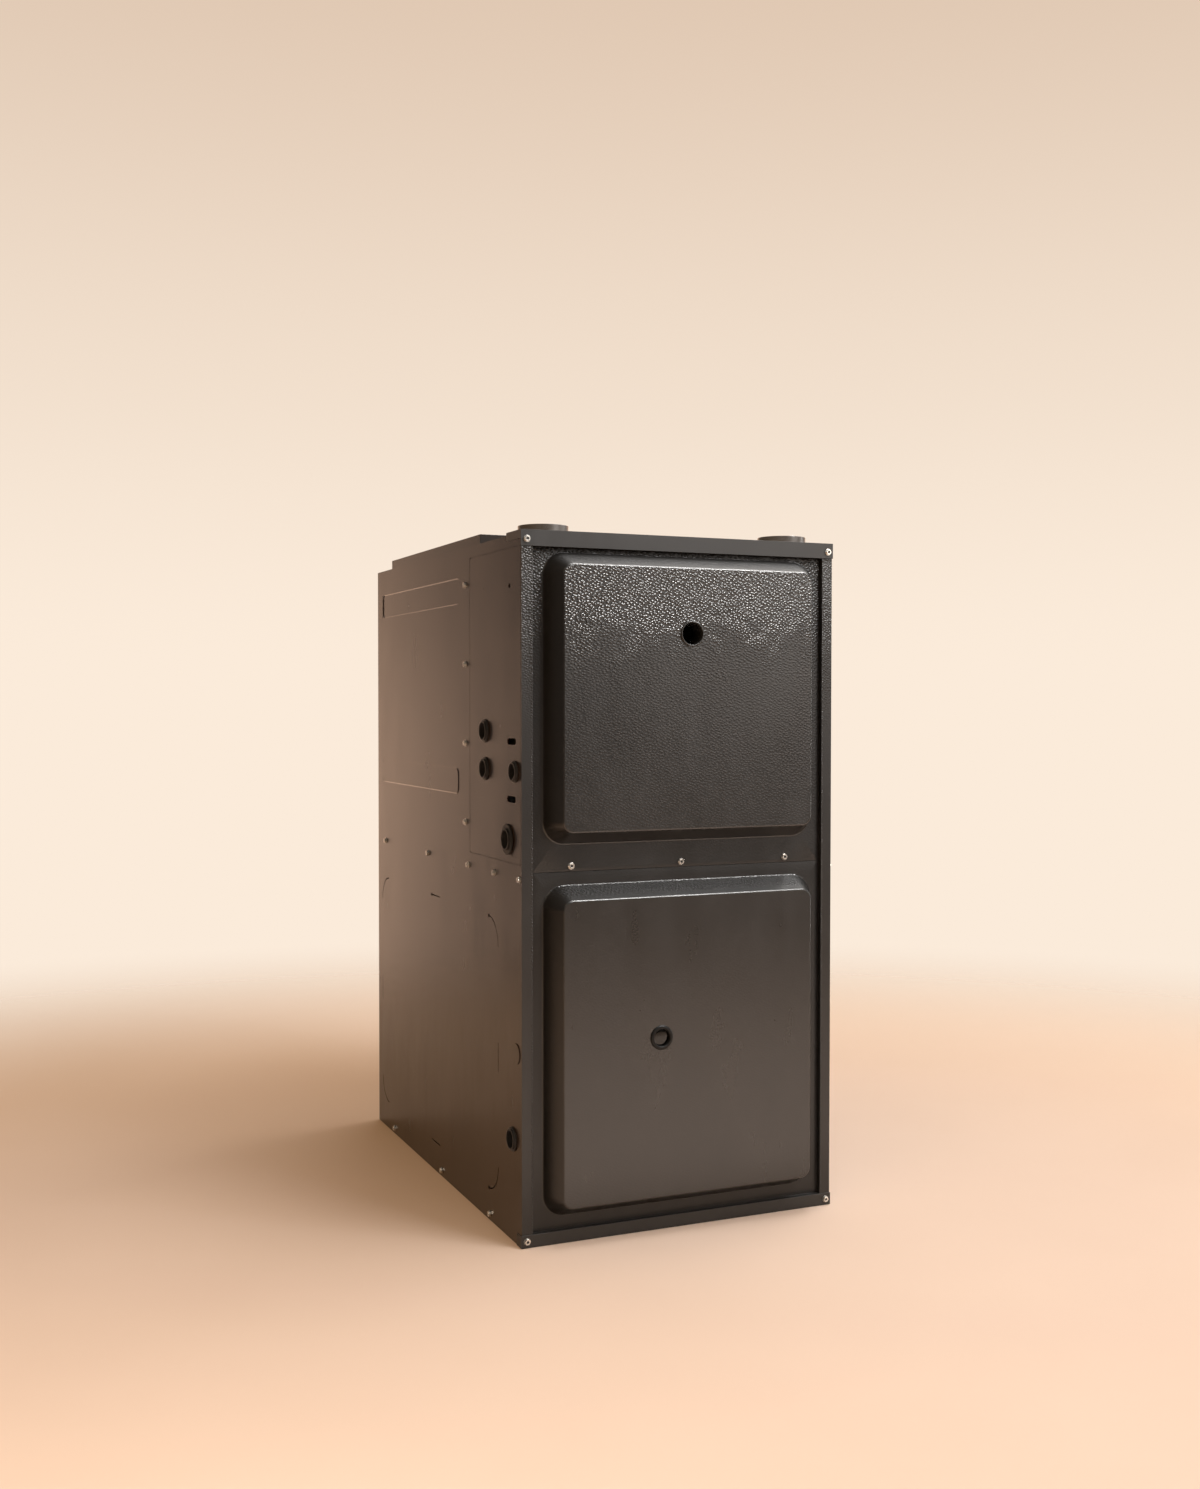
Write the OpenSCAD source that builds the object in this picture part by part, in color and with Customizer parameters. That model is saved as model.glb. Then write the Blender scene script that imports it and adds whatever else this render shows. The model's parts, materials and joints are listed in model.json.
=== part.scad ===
// Upflow forced air gas furnace, condensing type, millimetres.
// +Z is up, the doors face -Y, and the origin is at the middle of the base.

/* [Cabinet] */
// Width over the header rail
cabinet_w = 444.5; // [430:0.5:620]
// Height to the top of the header rail
cabinet_h = 889; // [870:1:1000]
// Depth from the front plane of the frame to the back
cabinet_d = 660.4; // [650:0.1:760]
// Thickness of the cabinet steel
sheet = 1; // [0.8:0.1:1.2]
// Drop from the header's top to the side panels' top edge
top_step = 3.6; // [3:0.1:6]
// Width of the corner strips beside the doors
strip_w = 16; // [14:0.5:20]
// Width of the stop flange behind each door edge
stop_w = 12; // [8:0.5:12]
// Height of the header rail
header_h = 20; // [18:0.5:26]
// Length of the header's return along each side
header_return = 53; // [30:1:80]
// Height of the header's return along each side
header_return_h = 10.5; // [8:0.5:14]
// Height of the bottom rail
bottom_rail_h = 16; // [14:0.5:16]
// Length of the bottom rail's return along each side
bottom_return = 17; // [10:1:30]
// Height of the base pan's side flanges
pan_flange_h = 20; // [16:1:40]
// Distance from the frame's front plane to the vestibule panel
vest_y = 208; // [207:0.5:212]
// Height of the blower deck's top
deck_z = 466; // [464:0.5:467]
// Depth of the flanges on the deck and vestibule panel
flange_w = 21; // [18:0.5:24]

/* [Doors] */
// Depth of the door border behind the frame's front plane
door_recess = 7; // [5:0.5:8]
// Drop from the blower deck's top to the seam between the doors
seam_drop = 1; // [0:0.5:2]
// Gap around each door
door_gap = 1.8; // [1:0.1:2.5]
// Gap at the door seam and under the header
seam_gap = 0.8; // [0.6:0.1:1.2]
// Gap between the lower door and the bottom rail
foot_gap = 3; // [2:0.1:4]
// Air gap between a closed door and the flange it seats on
seat_gap = 0.2; // [0.1:0.1:0.4]
// How far the raised panel stands in front of the frame
pillow_out = 24.5; // [18:0.5:32]
// Border from each door's side edge to its raised panel
border_side = 13.45; // [12:0.05:24]
// Inset of the raised face from its foot
pillow_inset = 15.5; // [10:0.5:20]
// Corner radius at the foot of the raised panel
pillow_r = 28; // [24:1:36]
// Border from each door's long edge to its raised panel, seam side
border_seam = 35; // [30:0.5:40]
// Border above the upper raised panel
border_top = 6; // [4:0.5:10]
// Border from the seam down to the lower raised panel
border_mid = 17; // [14:0.5:24]
// Border below the lower raised panel
border_foot = 15; // [12:0.5:20]
// Radius of the open sight hole in the upper door
sight_r = 14.25; // [10:0.25:16]
// Distance from the top of the upper raised panel down to its sight hole
sight_down = 98.6; // [88:0.1:110]
// Radius of the lower sight bezel's flange
bezel_r = 15.75; // [14:0.25:18]
// Radius of the lower sight window
window_r = 11; // [8:0.5:12]
// Place of the lower sight window across the door
window_x = -42; // [-80:1:60]
// Height of the lower sight window
window_z = 253; // [230:1:280]
// How far the sight trims stand in front of the raised face
trim_out = 2; // [1:0.5:3]
// Thickness of the door insulation
batt_t = 20; // [12:1:24]
// Spacing of the screws across the upper door
door_screw_pitch = 153; // [120:1:160]
// Height of the door screws above the seam
door_screw_up = 7; // [6:0.5:9]

/* [Side entries] */
// Front edge of the service plate's window
plate_y0 = 3; // [3:0.5:6]
// Rear edge of the service plate's window
plate_y1 = 199.6; // [190:0.5:200]
// Height of the service plate's window above the blower deck
plate_up = 9; // [9:0.5:14]
// Distance from the cabinet's top down to the service plate's window
plate_top = 19; // [17:0.5:29]
// Dark gap round the service plate
plate_gap = 0.8; // [0.4:0.1:1.2]
// Lap of the service plate behind the side panel
plate_lap = 7; // [5:0.5:7]
// Bore radius of the two large wire bushings
wire_r = 11; // [9:0.25:12]
// Bore radius of the front wire bushing
wire_front_r = 10; // [8:0.25:11]
// Bore radius of the gas bushing
gas_bore_r = 11.75; // [11:0.25:13]
// Bore radius of the drain bushing
drain_r = 11.2; // [9:0.1:12]
// Radius of the plugged knockout
plug_r = 12; // [10:0.25:13]
// Wall of a bushing's barrel
bush_wall = 1.2; // [1:0.1:2]
// How far the bushings stand out of the panel
bush_out = 4.5; // [3:0.5:6]

/* [Top] */
// Radius of the bore that takes the vent or intake pipe
collar_bore_r = 30.5; // [30.4:0.1:31.5]
// Wall of the pipe collars
collar_wall = 1.6; // [1.2:0.1:2.5]
// Height of the pipe collars above the top panel
collar_h = 14; // [10:0.5:20]
// Distance of the pipe collars from the cabinet's sides
collar_side = 49.25; // [47:0.25:58]
// Distance of the pipe collars from the frame's front plane
collar_y = 52; // [50:0.5:56]
// Height of the supply flanges above the top panel
supply_h = 18.6; // [12:0.1:30]
// Distance from the cabinet's side to the supply opening
supply_side = 20.25; // [14:0.25:42]
// Distance from the back to the supply flange
supply_back = 20; // [16:0.5:30]

/* [Blower] */
// Radius of the blower wheel
wheel_r = 127; // [110:1:130]
// Width of the blower wheel
wheel_w = 184; // [150:1:190]
// Number of blades in the blower wheel
blade_count = 36; // [24:1:44]
// Width of the blower housing
scroll_w = 202; // [200:1:220]
// Gap from the wheel to the housing at the cutoff
scroll_gap = 10; // [8:0.5:14]
// Growth of the housing's radius round the scroll
scroll_growth = 43; // [30:1:50]
// Distance of the blower axis from the frame's front plane
blower_y = 392; // [390:1:400]
// Height of the blower axis
blower_z = 235; // [220:1:250]
// Radius of the blower motor
motor_r = 70; // [55:1:75]
// Length of the blower motor
motor_l = 112; // [90:1:113]
// Radius of the blower shaft
shaft_r = 6.35; // [5:0.05:8]

/* [Combustion] */
// Outer radius of the heat exchanger tubes
tube_r = 19; // [16:0.5:20]
// Wall of the heat exchanger tubes
tube_wall = 1.5; // [1:0.1:2.5]
// Spacing of the burners
burner_pitch = 52; // [50:0.5:56]
// Number of burners and tubes
burner_count = 4; // [2:1:4]
// Height of the burners above the blower deck
burner_up = 298; // [294:1:304]
// Spacing of the heat exchanger passes
pass_drop = 80; // [76:1:82]
// Radius of the gas pipe
gas_r = 10.65; // [8:0.05:11]
// Distance of the gas line from the frame's front plane
gas_y = 51; // [48:0.5:54]
// Height of the gas entry above the blower deck
gas_up = 38.3; // [34:0.1:42]
// Distance of the gas valve from the cabinet's side
valve_side = 72.25; // [67:0.25:78]
// Radius of the inducer wheel
fan_r = 56; // [45:0.5:60]
// Distance of the inducer axis from the middle
inducer_x = 10; // [0:0.5:16]
// Height of the inducer axis above the blower deck
inducer_up = 132; // [124:0.5:138]
// Outer radius of the vent pipe
vent_r = 30.15; // [28:0.05:30.2]
// Wall of the vent pipe
vent_wall = 3.9; // [2:0.1:5]

/* [Hidden] */
$fn = 48;

// clearances and small margins
fit = 0.05;         // radial clearance of a fixed fit
run = 0.1;          // radial clearance of a running fit
loose = 0.3;        // clearance of pieces that slide past each other
cut = 1;            // how far a cutter runs past a face

// cabinet planes, with y = 0 at the frame's front plane
half_w = cabinet_w / 2;
side_x = half_w - sheet;
inner_x = side_x - sheet;
side_top = cabinet_h - top_step;
roof_z = side_top - sheet;
strip_x = half_w - strip_w;
stop_x = strip_x - stop_w;
border_back = door_recess + sheet;
stop_y = border_back + seat_gap;
lip_y = stop_y + sheet;
back_y = cabinet_d - sheet;
liner_y = back_y - sheet;
front_most = pillow_out + trim_out;
y_shift = -(cabinet_d - front_most) / 2;
header_z = cabinet_h - header_h;
deck_under = deck_z - sheet;
seam_z = deck_z - seam_drop;
plate_z0 = deck_z + plate_up;
plate_z1 = cabinet_h - plate_top;
collar_x = half_w - collar_side;
supply_half_w = half_w - supply_side;
burner_z = deck_z + burner_up;
gas_z = deck_z + gas_up;
valve_x = half_w - valve_side;
inducer_z = deck_z + inducer_up;
flange_z = deck_z - 17;
rail_lap = 15;
overlap_h = 10;
header_top_w = 12;

// doors
door_half_w = strip_x - door_gap;
pillow_half_w = door_half_w - border_side;
lower_door_z0 = bottom_rail_h + foot_gap;
lower_door_z1 = seam_z - seam_gap / 2;
upper_door_z0 = seam_z + seam_gap / 2;
upper_door_z1 = header_z - seam_gap / 2;
upper_pillow_z0 = upper_door_z0 + border_seam;
upper_pillow_z1 = upper_door_z1 - border_top;
lower_pillow_z0 = lower_door_z0 + border_foot;
lower_pillow_z1 = lower_door_z1 - border_mid;
sight_z = upper_pillow_z1 - sight_down;
pillow_depth = pillow_out + door_recess;
bend_steps = [[0, -0.02], [0.76, 0.82], [0.93, 0.955], [1.25, 1]];
door_screw_z = seam_z + door_screw_up;
batt_margin = 12;

// screws
head_r = 4.4;
washer_t = 0.8;
hex_r = 3.7;
hex_h = 2.2;
recess_r = 1.8;
shank_r = 1.9;
shank_l = 6;
door_shank_l = 10;
corner_x = half_w - 7.75;
corner_low_z = 8;
corner_high_z = cabinet_h - 11.5;
seam_screw_y = vest_y + 9;
seam_screw_z0 = deck_z + 49;
seam_screw_pitch = (cabinet_h - 53.6 - seam_screw_z0) / 3;
deck_screw_z = deck_z - 8.5;
deck_screw_ys = [8.5, 101, vest_y - 1.4, 390, cabinet_d - 43.4];
pan_screw_z = 8.5;
pan_screw_ys = [119, 327, cabinet_d - 91.4];
side_screw_spots = concat(
    [for (i = [0:3]) [seam_screw_y, seam_screw_z0 + i * seam_screw_pitch]],
    [for (y = deck_screw_ys) [y, deck_screw_z]],
    [for (y = pan_screw_ys) [y, pan_screw_z]]);

// side entries, as [y, z]
wire_spots = [[137, deck_z + 173.7], [136, deck_z + 124.4]];
wire_front_spot = [25.6, deck_z + 124.6];
gas_spot = [gas_y, gas_z];
drain_spot = [33, 129];
plug_spot = [20, 238.8];
bush_flange_t = 2;
bush_depth = 8;
wire_flange = 3;
gas_flange = 6.5;
lip_wall = 2;
slot_l = 31;
slot_h = 8;
slot_spots = [[36.8, deck_z + 161.7], [37.4, deck_z + 89.5]];
pilot_spot = [44.3, cabinet_h - 66.5];
pilot_r = 3.2;
pin_spot = [142, cabinet_h - 63.5];
pin_r = 1.25;
pocket = [[9, deck_z + 18], [37, deck_z + 58]];
pocket_d = 0.5;

// embossed panels and knockout slits in each side
emboss_y0 = 247;
emboss_y1 = cabinet_d - 30.4;
emboss_h = 36;
emboss_r = 8;
emboss_d = 0.8;
emboss_high_z = cabinet_h - 78;
emboss_low_z = deck_z + 85;
slit_w = 1.6;
return_y0 = 87;
return_y1 = cabinet_d - 23.9;
return_z0 = 42;
return_z1 = deck_z - 67;
return_r = 36;
slit_l = 38;
dot_r = 2.8;

// top
collar_r = collar_bore_r + collar_wall;
collar_foot_r = collar_r + 5.5;
collar_foot_t = 1.6;
collar_ear_r = 6;
collar_ear_x = 43;
collar_below = 20;
collar_stop_t = 3;
collar_stop_r = 26.5;
supply_y0 = vest_y + 2;
supply_y1 = cabinet_d - supply_back;

// blower
scroll_sweep = 250;
scroll_steps = 40;
cutoff_angle = 70;
cutoff_y = (wheel_r + scroll_gap) * cos(cutoff_angle);
scroll_end_r = wheel_r + scroll_gap + scroll_growth;
scroll_top = deck_under - blower_z;
blower_flange_w = 24;
inlet_r = wheel_r - 15;
ring_w = 15;
ring_t = 6;
disc_x = 10;
disc_t = 2;
hub_r = 16;
hub_l = 36;
blade_chord = 22;
blade_t = 1.2;
blade_angle = 35;
motor_gap = 22;
motor_x1 = disc_x - motor_gap;
motor_x0 = motor_x1 - motor_l;
arm_t = 4;
arm_w = 22;
arm_reach = 8;
band_t = 2.4;
shaft_in = 40;

// combustion
burner_xs = [for (i = [0:burner_count - 1]) (i - (burner_count - 1) / 2) * burner_pitch];
box_half_w = burner_pitch * 2 + 11;
box_y0 = 80;
box_z0 = burner_z - 28;
box_z1 = burner_z + 28;
burner_y0 = box_y0 + 5;
burner_l = 104;
burner_wall = 1.2;
manifold_r = 13;
orifice_r = 7;
orifice_bore = 1.2;
probe_y = vest_y - 8;
tube_y0 = vest_y + 67;
bend_r = pass_drop / 2;
header_box_y1 = liner_y - 18.4;
header_box_wall = 3;
core_half_w = half_w - 36.25;
core_y0 = vest_y + 32;
core_y1 = header_box_y1 - 40;
core_z0 = deck_z + 14;
core_h = 78;
core_bar = 8;
tube_y1 = core_y1 - 40;
header_box_half_w = burner_pitch * 2 + 8;
third_z = burner_z - 2 * pass_drop;
fin_pitch = 15;
fin_t = 2;
fin_count = floor(2 * core_half_w / fin_pitch);
collector_d = 40;
collector_y = vest_y - collector_d;
collector_half_w = half_w - 107.25;
collector_z0 = deck_z + 24;
collector_z1 = deck_z + 202;
port_half_w = collector_half_w - 25;
port_z0 = deck_z + 34;
port_z1 = deck_z + 79;
port_wall = 3;

// inducer
volute_r = fan_r + 16;
volute_wall = 2.5;
volute_d = 68;
volute_y0 = collector_y - volute_d;
discharge_r = 33;
discharge_z = inducer_z + volute_r - discharge_r;
discharge_x = inducer_x - volute_r - 33;
vent_y = collector_y - discharge_r;
socket_l = 15;
eye_r = 28;
inducer_motor_r = 42;
inducer_motor_l = 58;
spindle_r = 4;
inducer_front_y = volute_y0 - inducer_motor_l;
vent_x = -collar_x;
vent_elbow_r = (vent_y - collar_y) / 2;
vent_hub = 3.5;
vent_lip = 0.6;
vent_into = 2;
vent_top = roof_z - collar_below + 10;

// gas valve
valve_w = 70;
valve_d = 56;
valve_z0 = deck_z + 156;
valve_h = 88;
knob_r = 17;
knob_l = 11;
knob_stem_r = 5;
knob_gap = 1;

// controls
tray_y = 150;
tray_x1 = half_w - 72.25;
tray_z0 = window_z - 80;
tray_z1 = window_z + 82;
tray_flange = 24;
board_w = 150;
board_h = 120;
board_t = 1.6;
standoff_l = 10;
standoff_r = 3;
switch_x = half_w - 72.25;
switch_z = deck_under - 8;
switch_l = 32;
switch_w = 22;
switch_h = 13;
plunger_r = 3;
plunger_l = 14;
reset_xs = 60;
reset_y = 150;
reset_r = 2.1;
reset_l = 7;
reset_travel = 1.5;
disc_r = 9;
disc_h = 8;

// pressure switch
psw_x = valve_x + 12;
psw_z = deck_z + 99;
psw_r = 36;
psw_t = 14;
psw_plate_t = 8;
psw_plate_half_w = 20;
psw_boss_r = 14;
psw_boss_l = 8;
psw_nipple_r = 3;
psw_nipple_l = 12;
psw_nipple_z = 17;

// condensate trap
trap_x = -half_w + 50.25;
trap_y = 142;
trap_half_w = 24;
trap_half_d = 20;
trap_h = 66;
trap_port_r = 7;
trap_port_l = 12;
trap_drain_up = 20;

// pieces on the control board
relay_xs = [-50, -24];
relay_w = 19;
relay_h = 16;
relay_l = 25;
relay_up = 20;
chip_x = 22;
chip_w = 44;
chip_h = 12;
chip_l = 16;
chip_up = 28;
strip_half_l = 64;
terminal_h = 10;
terminal_l = 12;
terminal_down = 54;
lamp_r = 2.5;
lamp_h = 8;
can_xs = [-60, 40];
can_r = 8;
can_h = 18;
can_down = 14;

// transformer
core_x = tray_x1 - 54;
core_t = 34;
core_off = 8;
core_half_h = 26;
coil_half_w = 30;
spool_half_w = 18;
spool_half_h = 18;
spool_out = 10;
foot_half_w = 36;
foot_t = 2;

module place() {
    translate([0, y_shift, 0]) children();
}

module box(x0, x1, y0, y1, z0, z1) {
    translate([x0, y0, z0]) cube([x1 - x0, y1 - y0, z1 - z0]);
}

module rod_x(x, y, z, r, l) {
    translate([x, y, z]) rotate([0, 90, 0]) cylinder(r = r, h = l);
}

module rod_y(x, y, z, r, l) {
    translate([x, y, z]) rotate([-90, 0, 0]) cylinder(r = r, h = l);
}

module rod_z(x, y, z, r, l) {
    translate([x, y, z]) cylinder(r = r, h = l);
}

// draws its children on both sides of the cabinet
module both_sides() {
    children();
    mirror([1, 0, 0]) children();
}

// local x runs to the rear, local y up and local z into the cabinet, at the left side panel's outer face
module on_side(spot) {
    translate([-side_x, spot[0], spot[1]]) rotate([90, 0, 90]) children();
}

// a hex washer head screw whose head stands on z = 0 and whose shank runs down
module screw(length) {
    difference() {
        union() {
            cylinder(r = head_r, h = washer_t);
            cylinder(r = hex_r, h = washer_t + hex_h, $fn = 6);
        }
        translate([0, 0, washer_t + hex_h / 2]) cylinder(r = recess_r, h = hex_h);
    }
    translate([0, 0, -length]) cylinder(r = shank_r, h = length + washer_t);
}

module screw_hole(radius = shank_r + fit) {
    translate([0, 0, -shank_l - cut]) cylinder(r = radius, h = shank_l + 2 * cut);
}

module rounded_slab(x0, x1, y0, y1, r, h) {
    linear_extrude(height = h) union() {
        translate([x0 + r, y0]) square([x1 - x0 - 2 * r, y1 - y0]);
        translate([x0, y0 + r]) square([x1 - x0, y1 - y0 - 2 * r]);
        for (x = [x0 + r, x1 - r], y = [y0 + r, y1 - r]) translate([x, y]) circle(r = r);
    }
}

// a slit that runs round a quarter circle in the side panel
module arc_slit(y, z, from) {
    on_side([y, z]) translate([0, 0, -cut]) rotate([0, 0, from])
        rotate_extrude(angle = 90) translate([return_r - slit_w / 2, 0]) square([slit_w, sheet + 2 * cut]);
}

module straight_slit(y0, y1, z0, z1) {
    box(-side_x - cut, -inner_x + cut, y0, y1, z0, z1);
}

module return_air_marks() {
    arc_slit(return_y0 + return_r, return_z1 - return_r, 90);
    arc_slit(return_y1 - return_r, return_z1 - return_r, 0);
    arc_slit(return_y1 - return_r, return_z0 + return_r, 270);
    arc_slit(return_y0 + return_r, return_z0 + return_r, 180);
    mid_y = (return_y0 + return_y1) / 2 - 8;
    mid_z = (return_z0 + return_z1) / 2;
    straight_slit(mid_y - slit_l / 2, mid_y + slit_l / 2, return_z1 - slit_w / 2, return_z1 + slit_w / 2);
    straight_slit(mid_y - slit_l / 2, mid_y + slit_l / 2, return_z0 - slit_w / 2, return_z0 + slit_w / 2);
    straight_slit(return_y0 - slit_w / 2, return_y0 + slit_w / 2, mid_z - slit_l / 2, mid_z + slit_l / 2);
    straight_slit(return_y1 - slit_w / 2, return_y1 + slit_w / 2, mid_z - slit_l / 2, mid_z + slit_l / 2);
    for (spot = [[return_y0 + return_r, return_z1], [mid_y + slit_l / 2, return_z1],
            [return_y0 + return_r, return_z0]])
        on_side(spot) translate([0, 0, -cut]) cylinder(r = dot_r, h = sheet + 2 * cut);
}

module emboss_slab(z, grow, from, height) {
    on_side([0, z]) translate([0, 0, from])
        rounded_slab(emboss_y0 - grow, emboss_y1 + grow, -grow, emboss_h + grow, emboss_r + grow, height);
}

module side_panel() {
    difference() {
        union() {
            box(-side_x, -inner_x, sheet, cabinet_d, 0, side_top);
            box(-side_x, -strip_x, sheet, 2 * sheet, 0, side_top);
            box(-strip_x - sheet, -strip_x, sheet, lip_y, 0, roof_z);
            box(-strip_x - sheet, -stop_x, stop_y, lip_y, 0, roof_z);
            box(-side_x, -side_x + strip_w, back_y, cabinet_d, 0, side_top);
            emboss_slab(emboss_high_z, sheet, emboss_d, sheet);
            emboss_slab(emboss_low_z, 0, -emboss_d, sheet);
        }
        emboss_slab(emboss_high_z, 0, -cut, cut + emboss_d);
        emboss_slab(emboss_low_z, -sheet, sheet - emboss_d, sheet + cut);
        for (z = [emboss_high_z, emboss_low_z])
            box(-side_x - cut, -inner_x + 2 * cut, emboss_y1 + sheet, emboss_y1 + sheet + slit_w, z, z + emboss_h);
        return_air_marks();
        box(-side_x - cut, -inner_x + cut, plate_y0, plate_y1, plate_z0, plate_z1);
        for (spot = side_screw_spots) on_side(spot) mirror([0, 0, 1]) screw_hole();
        on_side(plug_spot) translate([0, 0, -cut]) cylinder(r = plug_r + fit, h = sheet + 2 * cut);
        on_side(drain_spot) translate([0, 0, -cut])
            cylinder(r = drain_r + bush_wall + fit, h = sheet + 2 * cut);
        for (z = [corner_low_z, corner_high_z])
            rod_y(-corner_x, -cut, z, shank_r + fit, 2 * sheet + 2 * cut);
    }
}

module service_plate() {
    difference() {
        union() {
            box(-side_x, -inner_x, plate_y0 + plate_gap, plate_y1 - plate_gap,
                plate_z0 + plate_gap, plate_z1 - plate_gap);
            box(-inner_x, -inner_x + sheet, 2 * sheet + plate_gap / 2, plate_y1 + plate_lap,
                plate_z0 - plate_lap, plate_z1 + plate_lap);
        }
        for (spot = wire_spots)
            on_side(spot) translate([0, 0, -cut]) cylinder(r = wire_r + bush_wall + fit, h = 2 * (sheet + cut));
        on_side(wire_front_spot) translate([0, 0, -cut])
            cylinder(r = wire_front_r + bush_wall + fit, h = 2 * (sheet + cut));
        on_side(gas_spot) translate([0, 0, -cut])
            cylinder(r = gas_bore_r + bush_wall + fit, h = 2 * (sheet + cut));
        for (spot = slot_spots)
            on_side(spot) translate([0, 0, -cut])
                rounded_slab(-slot_l / 2, slot_l / 2, -slot_h / 2, slot_h / 2, slot_h / 2 - fit, 2 * (sheet + cut));
        on_side(pilot_spot) translate([0, 0, -cut]) cylinder(r = pilot_r, h = 2 * (sheet + cut));
        on_side(pin_spot) translate([0, 0, -cut]) cylinder(r = pin_r, h = 2 * (sheet + cut));
        box(-side_x - cut, -side_x + pocket_d, pocket[0][0], pocket[1][0], pocket[0][1], pocket[1][1]);
    }
}

module left_side_panel() {
    color("#4a3f38") place() side_panel();
}

module right_side_panel() {
    color("#4a3f38") place() mirror([1, 0, 0]) side_panel();
}

module left_service_plate() {
    color("#473c36") place() service_plate();
}

module right_service_plate() {
    color("#473c36") place() mirror([1, 0, 0]) service_plate();
}

module back_panel() {
    color("#4a3f38") place() box(-inner_x, inner_x, liner_y, back_y, 0, side_top);
}

module top_panel() {
    color("#3a3c3e") place() difference() {
        union() {
            box(-inner_x, inner_x, 2 * sheet, vest_y, roof_z, side_top);
            box(-stop_x, stop_x, stop_y, lip_y, upper_door_z1 - overlap_h, roof_z);
        }
        both_sides() {
            rod_z(-collar_x, collar_y, roof_z - cut, collar_r + fit, sheet + 2 * cut);
            for (x = [-collar_ear_x, collar_ear_x])
                rod_z(-collar_x + x, collar_y, roof_z - cut, shank_r + fit, sheet + 2 * cut);
        }
    }
}

module supply_flange() {
    color("#54463d") place() {
        difference() {
            box(-inner_x, inner_x, vest_y, liner_y, roof_z, side_top);
            box(-supply_half_w, supply_half_w, supply_y0, supply_y1, roof_z - cut, side_top + cut);
        }
        difference() {
            box(-supply_half_w - sheet, supply_half_w + sheet, supply_y0 - sheet, supply_y1 + sheet,
                roof_z, side_top + supply_h);
            box(-supply_half_w, supply_half_w, supply_y0, supply_y1, roof_z - cut, side_top + supply_h + cut);
        }
    }
}

module header_rail() {
    color("#333638") place() difference() {
        union() {
            box(-half_w, half_w, 0, sheet, header_z, cabinet_h);
            box(-half_w, half_w, 0, header_top_w, cabinet_h - sheet, cabinet_h);
            both_sides() box(-half_w, -side_x, 0, header_return, cabinet_h - header_return_h, cabinet_h);
        }
        both_sides() rod_y(-corner_x, -cut, corner_high_z, shank_r + fit, sheet + 2 * cut);
    }
}

module bottom_rail() {
    color("#333638") place() difference() {
        union() {
            box(-half_w, half_w, 0, sheet, 0, bottom_rail_h);
            box(-strip_x, strip_x, 0, stop_y, bottom_rail_h - sheet, bottom_rail_h);
            box(-stop_x, stop_x, stop_y, lip_y, bottom_rail_h - sheet, lower_door_z0 + overlap_h);
            both_sides() box(-half_w, -side_x, 0, bottom_return, 0, bottom_rail_h - sheet);
        }
        both_sides() rod_y(-corner_x, -cut, corner_low_z, shank_r + fit, sheet + 2 * cut);
    }
}

module base_pan() {
    color("#3d3936") place() difference() {
        union() {
            box(-inner_x, inner_x, lip_y, liner_y, 0, sheet);
            both_sides() box(-inner_x, -inner_x + sheet, lip_y, liner_y, 0, pan_flange_h);
            box(-inner_x, inner_x, liner_y - sheet, liner_y, 0, pan_flange_h);
        }
        both_sides() for (y = pan_screw_ys) on_side([y, pan_screw_z]) mirror([0, 0, 1]) screw_hole();
    }
}

module blower_deck() {
    color("#8f9498") place() difference() {
        union() {
            box(-inner_x, inner_x, lip_y, liner_y, deck_under, deck_z);
            both_sides() box(-inner_x, -inner_x + sheet, 2 * sheet, liner_y, flange_z, deck_z);
            box(-stop_x, stop_x, stop_y, lip_y, flange_z, deck_z + rail_lap);
        }
        box(-scroll_w / 2 + sheet, scroll_w / 2 - sheet, blower_y - scroll_end_r + sheet,
            blower_y + cutoff_y - sheet, deck_under - cut, deck_z + cut);
        both_sides() for (y = deck_screw_ys) on_side([y, deck_screw_z]) mirror([0, 0, 1]) screw_hole();
        for (i = [-1:1]) rod_y(i * door_screw_pitch, stop_y - cut, door_screw_z, shank_r + loose, sheet + 2 * cut);
        rod_y(switch_x, stop_y - cut, switch_z, plunger_r + loose, sheet + 2 * cut);
    }
}

module vestibule_panel() {
    color("#9a9ea1") place() difference() {
        union() {
            box(-inner_x, inner_x, vest_y, vest_y + sheet, deck_z, roof_z);
            both_sides() box(-inner_x, -inner_x + sheet, vest_y, vest_y + flange_w, deck_z, roof_z);
        }
        for (x = burner_xs) rod_y(x, vest_y - cut, burner_z, tube_r + fit, sheet + 2 * cut);
        box(-port_half_w, port_half_w, vest_y - cut, vest_y + sheet + cut, port_z0, port_z1);
        both_sides() for (i = [0:3])
            on_side([seam_screw_y, seam_screw_z0 + i * seam_screw_pitch]) mirror([0, 0, 1]) screw_hole();
    }
}

// raised door panel, drawn forward from the border's face; skin takes a wall's thickness off it
module pillow(z0, z1, skin) {
    foot_half = pillow_half_w - skin;
    hull() for (step = bend_steps) {
        inset = pillow_inset * step[0];
        radius = max(pillow_r - inset - skin, 1);
        y = door_recess + (skin > 0 && step[1] < 0 ? 2 * sheet : 0) - (pillow_depth - skin) * step[1];
        for (x = [-1, 1] * (foot_half - inset - radius), z = [z0 + skin + inset + radius, z1 - skin - inset - radius])
            rod_y(x, y, z, radius, fit, $fn = 32);
    }
}

module door_shell(door_z0, door_z1, pillow_z0, pillow_z1) {
    difference() {
        union() {
            box(-door_half_w, door_half_w, door_recess, border_back, door_z0, door_z1);
            pillow(pillow_z0, pillow_z1, 0);
        }
        pillow(pillow_z0, pillow_z1, sheet);
        children();
    }
}

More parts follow.
